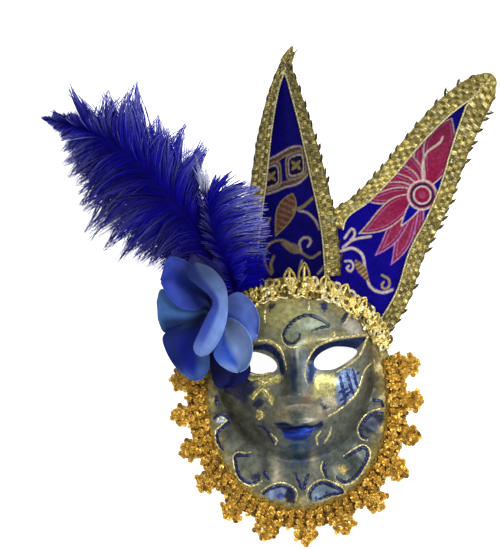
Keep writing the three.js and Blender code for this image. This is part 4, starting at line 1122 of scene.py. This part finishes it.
# AMBER_BRIGHT stands partly for painted highlights, and AMBER_DARK partly for painted shade on the cord
AMBER_BRIGHT, AMBER, AMBER_DARK = (222, 184, 88), (180, 138, 46), (122, 88, 26)
AMBER_THREADS = (AMBER, AMBER_BRIGHT, AMBER, AMBER_BRIGHT, AMBER_DARK)
LACE_CLUSTER = [
    # sideways, outward, radius and loops of the rosettes of a cluster
    (0, 16.4, 7.2, 6), (-5.0, 10.5, 4.4, 4), (5.0, 10.5, 4.4, 4), (0, 21.4, 4.2, 4), (-6.2, 17.2, 4.0, 3),
    (6.2, 17.2, 4.0, 3),
]


def lace_backing(down, over):
    return over_rim(LACE_START + LACE_SWEEP * down, -6.4 + 15.4 * over, 1.2, LACE_FALL)


chance = np.random.default_rng(19)
strands = []
for cluster in range(LACE_CLUSTERS):
    middle = LACE_START + (cluster + 0.5) * LACE_PITCH
    for sideways, outward, radius, loops in LACE_CLUSTER:
        shift, stretch = chance.uniform(-0.8, 0.8, 2)
        place, past = middle + (sideways + shift) / 105, outward + stretch
        strands += rosette(place, past, radius, loops, LACE_CORD, AMBER_THREADS, chance, LACE_FALL)
for ring in range(LACE_RINGS):
    middle = LACE_START + (ring + 0.5) * LACE_SWEEP / LACE_RINGS
    for outward in (-2.6, 2.6, 7.6):
        shift = (ring % 2) * 0.8 + chance.uniform(-0.6, 0.6)
        strands += rosette(middle, outward + shift, 3.7, 3, RING_CORD, AMBER_THREADS, chance, LACE_FALL)
# an edging cord, and two cords that cross each other along the band
sweep = np.linspace(LACE_START, LACE_START + LACE_SWEEP, 420)
waves = (sweep - LACE_START) / LACE_SWEEP * LACE_RINGS * math.pi
for past, lift, cord, colour in (
    (-6.2 + 0.7 * np.cos(2 * waves), 1.6, 1.1, AMBER), (5.2 + 4.2 * np.cos(waves), 1.8, 1.0, AMBER),
    (5.2 - 4.2 * np.cos(waves), 1.4, 1.0, AMBER_DARK),
):
    strands.append((over_rim(sweep, past, lift, LACE_FALL), cord, thread_colour(colour, chance, 0)))
cords = cord_mesh("lace_cords", strands, "thread", 4)
backing = ribbon_mesh("lace_backing", lace_backing, 8, 200, 0.6, AMBER_DARK)
lace = join_pieces("collar_crochet_lace", cords, backing)
dress(lace, metal_thread("amber_gold_thread", 0.36, 0.5), 60)
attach(lace, "root")
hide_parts("collar_lace")


# Silk flower
# A flower of blue starched silk glued over the left temple: six broad outer petals and three paler inner
# ones around a small felt base, which also holds the glued ends of the two feathers.

SILK_THICKNESS = 0.6
OUTER_PETALS = [
    # one edge and the other from foot to tip as x, y, z; crown (+) or hollow (-), share of the width that the
    # first edge's colour takes, colours at the first edge, in the middle and at the other edge: the silk's
    # dye with painted highlight and shade of its folds, and painted shade as brightness at foot and tip
    ([(-67, 46, 24), (-76, 66, 30), (-85, 86, 33), (-84, 92, 33), (-80.5, 95.5, 33)],
     [(-64, 46, 24), (-60, 64, 30), (-56, 75, 33), (-61, 85, 33), (-76, 95, 33)],
     -2, 0.3, (24, 22, 78), (12, 12, 66), (18, 18, 80), 0.5, 1.0),
    ([(-67, 44, 24), (-72, 50, 36), (-80, 48, 42), (-92, 50, 45), (-102, 59.5, 47), (-108.6, 73, 46)],
     [(-67, 46, 24), (-69, 60, 36), (-77, 76, 40), (-86, 89.5, 44), (-100, 93.5, 46), (-108.8, 75.5, 46)],
     -9, 0.4, (48, 66, 156), (18, 36, 122), (44, 54, 116), 0.3, 0.95),
    ([(-67, 40, 23), (-74, 42, 30), (-82.5, 35, 33), (-98, 32, 34), (-109, 31, 34), (-113.5, 42, 34)],
     [(-67, 46, 23), (-74, 52, 32), (-84, 56, 36), (-98, 63, 38), (-109, 67.5, 38), (-113.5, 58, 35)],
     3, 0.35, (14, 32, 74), (52, 86, 140), (60, 96, 148), 0.5, 1.0),
    ([(-68, 40, 22), (-80, 40, 32), (-96, 36, 36), (-110, 28, 36), (-108, 14, 34), (-99, -2, 32),
      (-90, -10, 30)],
     [(-67, 38, 22), (-71, 31, 30), (-72.6, 21, 33), (-72, 8, 32), (-73.5, -3, 30), (-79, -10, 29),
      (-86, -12.5, 29)],
     -6, 0.3, (14, 30, 94), (8, 28, 128), (66, 94, 158), 0.4, 1.0),
    ([(-66, 36, 22), (-70, 22, 28), (-72, 8, 30), (-71.5, -6, 29), (-69, -17, 27), (-64, -20, 26)],
     [(-63, 36, 22), (-57, 22, 30), (-46, 9, 32), (-38, -4, 31), (-43, -14, 28), (-60, -20.5, 26)],
     -4, 0.3, (8, 12, 60), (10, 14, 70), (14, 20, 80), 0.6, 1.0),
    ([(-63, 43, 24), (-57, 52, 34), (-52, 58.5, 40), (-43.7, 60.6, 44), (-33.4, 52.3, 46), (-28, 38, 46),
      (-29.5, 26, 44)],
     [(-63, 41, 24), (-57.5, 46, 34), (-52.8, 39, 40), (-46, 31, 43), (-41, 24, 44), (-36, 19.5, 44),
      (-31, 21, 44)],
     -4, 0.35, (84, 106, 176), (70, 96, 168), (30, 54, 144), 0.4, 1.05),
]
INNER_PETALS = [
    ([(-63, 40, 27), (-56.7, 39.6, 40), (-50.4, 39.2, 48), (-41, 31.4, 54), (-35.6, 19.3, 57), (-36, 8, 57),
      (-41, -2.5, 55), (-47, -5.6, 53)],
     [(-64, 38, 27), (-60, 32, 38), (-63.3, 21, 46), (-68, 11, 50), (-65, 3.5, 51), (-58.5, -2.2, 52),
      (-53, -5, 53), (-49, -6, 53)],
     -9, 0.56, (108, 132, 178), (20, 58, 152), (50, 82, 162), 0.5, 1.1),
    ([(-70, 44, 26), (-69, 48, 40), (-67, 54, 57)],
     [(-62, 44, 26), (-60, 50, 40), (-57, 56, 58)],
     0, 0.3, (14, 26, 84), (16, 30, 92), (18, 36, 104), 0.6, 1.0),
    ([(-80.4, 87.6, 50), (-85, 83.6, 50), (-84.7, 75.5, 54), (-77.2, 68.3, 58), (-67.9, 59.2, 60),
      (-65.6, 53.7, 60), (-71.7, 42.4, 58), (-79.8, 27.7, 55), (-84.5, 17.3, 50), (-82.6, 11.3, 47)],
     [(-76.8, 87.7, 50), (-68.1, 84.3, 50), (-59.6, 76.5, 54), (-54.4, 66.4, 58), (-53.3, 56.4, 60),
      (-54.4, 43.1, 60), (-58.2, 29.9, 58), (-65.2, 17.8, 54), (-71.9, 11.1, 50), (-78.3, 9, 47)],
     4, 0.42, (44, 64, 144), (86, 110, 166), (92, 116, 170), 0.28, 1.18),
]


def petal_places(down, over, first, second, crown):
    """A petal between its two edges, its middle raised or hollow. It rests on the face where they meet."""
    first, second = smooth_curve(first, down), smooth_curve(second, down)
    side = 2 * over - 1
    places = first + (second - first) * over[:, None]
    places[:, 2] += crown * (1 - side ** 2) * smooth(down, 0, 0.4) - 0.15 * crown * side ** 6
    places[:, 2] += 0.5 * np.sin(4.5 * side + 9 * down + crown) * down
    places[:, 2] = np.maximum(places[:, 2], face_height(places[:, 0], places[:, 1]) + 0.8)
    return places


silk = new_finish("starched_silk")
cloudy = add_texture(silk, "Noise", Scale=110.0, Detail=4.0)
dyed = multiplied(silk, kept(silk, "dye"), ramp(silk, cloudy, (0.3, (0.78, 0.78, 0.8, 1)), (0.7, 1.1)))
fibre = add_texture(silk, "Noise", Scale=1600.0, Detail=2.0)
woven = relief(silk, fibre, 0.15, 0.0003)
shade(silk, Base_Color=dyed, Normal=woven, Roughness=0.65, Specular_IOR_Level=0.12)

for node, slot, petals in (
    ("flower_outer_petals", "petal_dark", OUTER_PETALS), ("flower_inner_petals", "petal_light", INNER_PETALS),
):
    sewn = []
    for first, second, crown, first_share, first_colour, colour, second_colour, foot_painted_shade, tip_painted_shade in petals:
        petal, down, over = new_grid("petal", 26, 40)
        move_vertices(petal, in_frame(petal_places(down, over, first, second, crown)))
        dyed = all_over(colour, len(down))
        # edge colours and the paler tip hold painted highlight and shade; tone is painted shade along it
        lay(dyed, first_colour, 1 - smooth(over, first_share - 0.12, first_share + 0.12))
        lay(dyed, second_colour, smooth(over, 0.62, 0.9))
        paler = max(first_colour, second_colour, key=sum)
        lay(dyed, paler, smooth(down + 0.24 * smooth(over, 0.55, 1), 0.72, 1))
        tone = foot_painted_shade + (tip_painted_shade - foot_painted_shade) * smooth(down, 0.1, 0.7)
        colour_attribute(petal, "dye", dyed * tone[:, None])
        apply_modifier(petal, "SOLIDIFY", thickness=SILK_THICKNESS / 1000, offset=0)
        sewn.append(petal)
    flower = join_pieces(node + "_silk", *sewn)
    dress(flower, silk, 60)
    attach(flower, "root")
    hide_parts(node)

felt = new_finish("blue_felt")
hairs = add_texture(felt, "Noise", Scale=1200.0, Detail=4.0)
shade(felt, Base_Color=ramp(felt, hairs, (0, linear(14, 22, 78)), (1, linear(40, 58, 140))), Roughness=0.9)
felt_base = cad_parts["flower_base"]
felt_base.data.materials.clear()
felt_base.data.materials.append(felt)


# Feathers
# Two dyed blue plumes behind the flower, a long one that sweeps up to the left and a short tuft. Each is a
# curved quill with a dense fringe of soft barbs on both sides, which cling together in pointed locks.

MAIN_QUILL = [
    (-51, 51, 19.6), (-60, 84, 19), (-76, 117, 21), (-95.7, 144, 25), (-130, 183, 28), (-161, 204.5, 28),
    (-182, 213.5, 26), (-203, 220, 23),
]
SIDE_QUILL = [
    (-46, 57, 19.4), (-53, 84, 24), (-62, 112, 28), (-66, 142, 31),
]
MAIN_LOCKS = [
    # share of the quill where a lock is rooted, x and y of its tip, its brightness and how pale its ends are
    (0.86, -192, 223, 0.45, 0.7), (0.70, -177, 246, 0.6, 1.0), (0.68, -173, 236, 0.5, 1.0),
    (0.60, -145, 240, 0.6, 0.9), (0.56, -127, 236, 0.6, 0.9), (0.53, -119, 244, 0.8, 0.9),
    (0.47, -103, 214, 0.9, 0.7), (0.45, -95, 202, 0.7, 0.6), (0.43, -80, 205, 0.8, 0.6),
    (0.38, -66, 190, 0.9, 0.6), (0.37, -63, 185, 0.6, 0.6), (0.29, -73, 150, 0.6, 0.3),
    (0.22, -62, 128, 0.6, 0.2), (0.72, -185, 198, 0.4, 0.9), (0.68, -186, 189, 0.2, 0.9),
    (0.64, -184, 178, 0.3, 0.8), (0.60, -180, 167, 0.1, 0.6), (0.57, -176, 161, 0.2, 0.4),
    (0.54, -174, 152, 0.1, 0.3), (0.51, -172, 144, 0.2, 0.4), (0.48, -171, 136, 0.1, 0.3),
    (0.45, -170, 121, 0.3, 0.4), (0.43, -165, 114, 0.1, 0.4), (0.39, -155, 104, 0.3, 0.3),
    (0.35, -143, 96, 0.1, 0.3), (0.31, -128, 97, 0.2, 0.3), (0.27, -117, 90, 0.1, 0.3),
    (0.22, -105, 90, 0.1, 0.2), (0.16, -93, 84, 0.1, 0.2), (0.11, -80, 80, 0.1, 0.1),
]
SIDE_LOCKS = [
    # the last three are grey down
    (0.10, -38, 74, 0.6, 0.1), (0.18, -36, 84, 0.7, 0.1), (0.28, -33, 96, 0.7, 0.2),
    (0.40, -27, 108, 0.6, 0.5), (0.52, -21, 119, 0.6, 1.0), (0.64, -18, 130, 0.6, 1.0),
    (0.76, -18, 139, 0.7, 1.0), (0.86, -20, 147, 0.7, 1.0), (0.90, -32, 152, 0.8, 0.9),
    (0.94, -43, 166, 0.9, 0.4), (0.97, -56, 160, 0.9, 0.2), (0.97, -69, 172, 0.0, 2.0),
    (0.97, -63, 167, 0.0, 2.0), (0.97, -72, 168, 0.0, 2.0),
]
MAIN_FRINGE = [
    # share of the quill, then length and lean of the loose barbs on its left and on its right
    (0.03, 22, 70, 24, 60), (0.15, 38, 84, 28, 62), (0.3, 58, 84, 34, 56), (0.45, 58, 80, 36, 48),
    (0.6, 40, 70, 33, 40), (0.75, 20, 56, 20, 32), (0.9, 8, 36, 8, 24), (0.98, 3, 20, 3, 14),
]
SIDE_FRINGE = [
    (0.02, 12, 60, 28, 80), (0.18, 14, 50, 32, 92), (0.38, 15, 40, 37, 96), (0.55, 16, 36, 46, 92),
    (0.75, 16, 28, 49, 84), (0.97, 16, 14, 40, 66),
]
LOCK_BARBS, DOWN_BARBS = 96, 32
BARB_DARK, BARB_BLUE, BARB_PALE, DOWN_GREY = (4, 1, 74), (12, 3, 166), (148, 152, 208), (184, 188, 208)
BARB_RADIUS = np.array([0.55, 0.6, 0.5, 0.36, 0.12])

feather = new_finish("dyed_feather")
downy = add_texture(feather, "Noise", Scale=900.0, Detail=3.0)
dyed = multiplied(feather, kept(feather, "dye"), ramp(feather, downy, (0.3, (0.6, 0.6, 0.65, 1)), (0.7, 1.3)))
shade(feather, Base_Color=dyed, Roughness=0.75, Specular_IOR_Level=0.04)

for node, quill_points, locks, fringe, loose_barbs, on_left, loose_paleness in (
    # node, quill, locks, fringe, loose barbs, share of them on the left, and how pale the others are
    ("plume_main", MAIN_QUILL, MAIN_LOCKS, MAIN_FRINGE, 1850, 0.6, 0.6),
    ("plume_side", SIDE_QUILL, SIDE_LOCKS, SIDE_FRINGE, 900, 0.2, 1.0),
):
    chance = np.random.default_rng(len(node))
    fringe = np.array(fringe, float)
    quill_shares = np.linspace(0, 1, 200)
    quill = smooth_curve(quill_points, quill_shares)
    headings = np.unwrap(np.arctan2(*np.gradient(quill[:, :2], axis=0).T[::-1]))
    strands = [(quill[::5], np.linspace(1.5, 0.5, 40), tint(BARB_DARK))]

    def on_quill(share):
        """The place on the quill at a share of its length, and the way it heads there."""
        place = np.array([np.interp(share, quill_shares, column) for column in quill.T])
        return place, np.interp(share, quill_shares, headings)

    def add_barb(share, tip, side, leave, reach, lift, tone, paleness):
        """A barb that leaves the quill to one side, at an angle in degrees, and bends towards its tip."""
        root, heading = on_quill(share)
        turn = heading + side * math.radians(leave)
        tip = root + [*tip, 0.0]
        bend = root + 0.45 * np.linalg.norm(tip - root) * np.array([math.cos(turn), math.sin(turn), 0])
        shares = np.linspace(0, reach, len(BARB_RADIUS))
        along = shares[:, None]
        points = (1 - along) ** 2 * root + 2 * along * (1 - along) * bend + along ** 2 * tip
        points[:, 2] += lift * np.sin(1.7 * shares)
        colour = all_over(BARB_DARK, len(shares))
        lay(colour, BARB_BLUE, np.clip(tone * (0.3 + 0.9 * shares), 0, 1))
        if paleness > 1:
            lay(colour, DOWN_GREY, smooth(shares, 0.3, 0.6))
        else:
            faded = 1.4 * paleness * shares ** 3 * chance.uniform(0, 1) ** 1.5
            lay(colour, BARB_PALE, np.clip(faded, 0, 1))
        strands.append((points, BARB_RADIUS * (0.5 if paleness > 1 else 1.0), colour))

    for root_share, tip_x, tip_y, lock_tone, paleness in locks:
        lock_lift = chance.uniform(-4, 8)
        near_tip = smooth(root_share, 0.55, 0.72)
        barbs, apart, leave = int(LOCK_BARBS * (1 - 0.55 * near_tip)), 1.8, 36
        if paleness > 1:
            barbs, apart, leave = DOWN_BARBS, 3.2, 4
        for _ in range(barbs):
            share = np.clip(root_share + chance.normal(0, 0.035 - 0.015 * near_tip), 0.02, 0.995)
            root, heading = on_quill(share)
            tip = np.array([tip_x, tip_y]) + chance.normal(0, apart, 2) - root[:2]
            side = 1 if math.cos(heading) * tip[1] - math.sin(heading) * tip[0] > 0 else -1
            angle, reach = leave + chance.normal(0, 9), chance.uniform(0.62, 1.05)
            lift, tone = lock_lift + chance.normal(0, 2), np.clip(lock_tone + chance.normal(0, 0.25), 0, 1)
            add_barb(share, tip, side, angle, reach, lift, tone, paleness)
    for _ in range(loose_barbs):
        share = fringe[0, 0] + (fringe[-1, 0] - fringe[0, 0]) * chance.uniform(0, 1) ** 1.25
        side = 1 if chance.random() < on_left else -1
        length, lean = (
            np.interp(share, fringe[:, 0], fringe[:, column]) for column in ((1, 2) if side > 0 else (3, 4)))
        lean += chance.normal(0, 7)
        turn = on_quill(share)[1] + side * math.radians(lean)
        tip = length * chance.uniform(0.65, 1.05) * np.array([math.cos(turn), math.sin(turn)])
        lift, tone = chance.uniform(-4, 6), np.clip(chance.normal(0.22 if side > 0 else 0.4, 0.3), 0, 1)
        paleness = loose_paleness * smooth(share, 0.25, 0.6) if side < 0 else 0.3
        add_barb(share, tip, side, lean - 16, 1.0, lift, tone, paleness)
    plume = cord_mesh(node + "_barbs", strands, "dye", 4)
    dress(plume, feather, 60)
    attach(plume, "root")
    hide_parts(node)
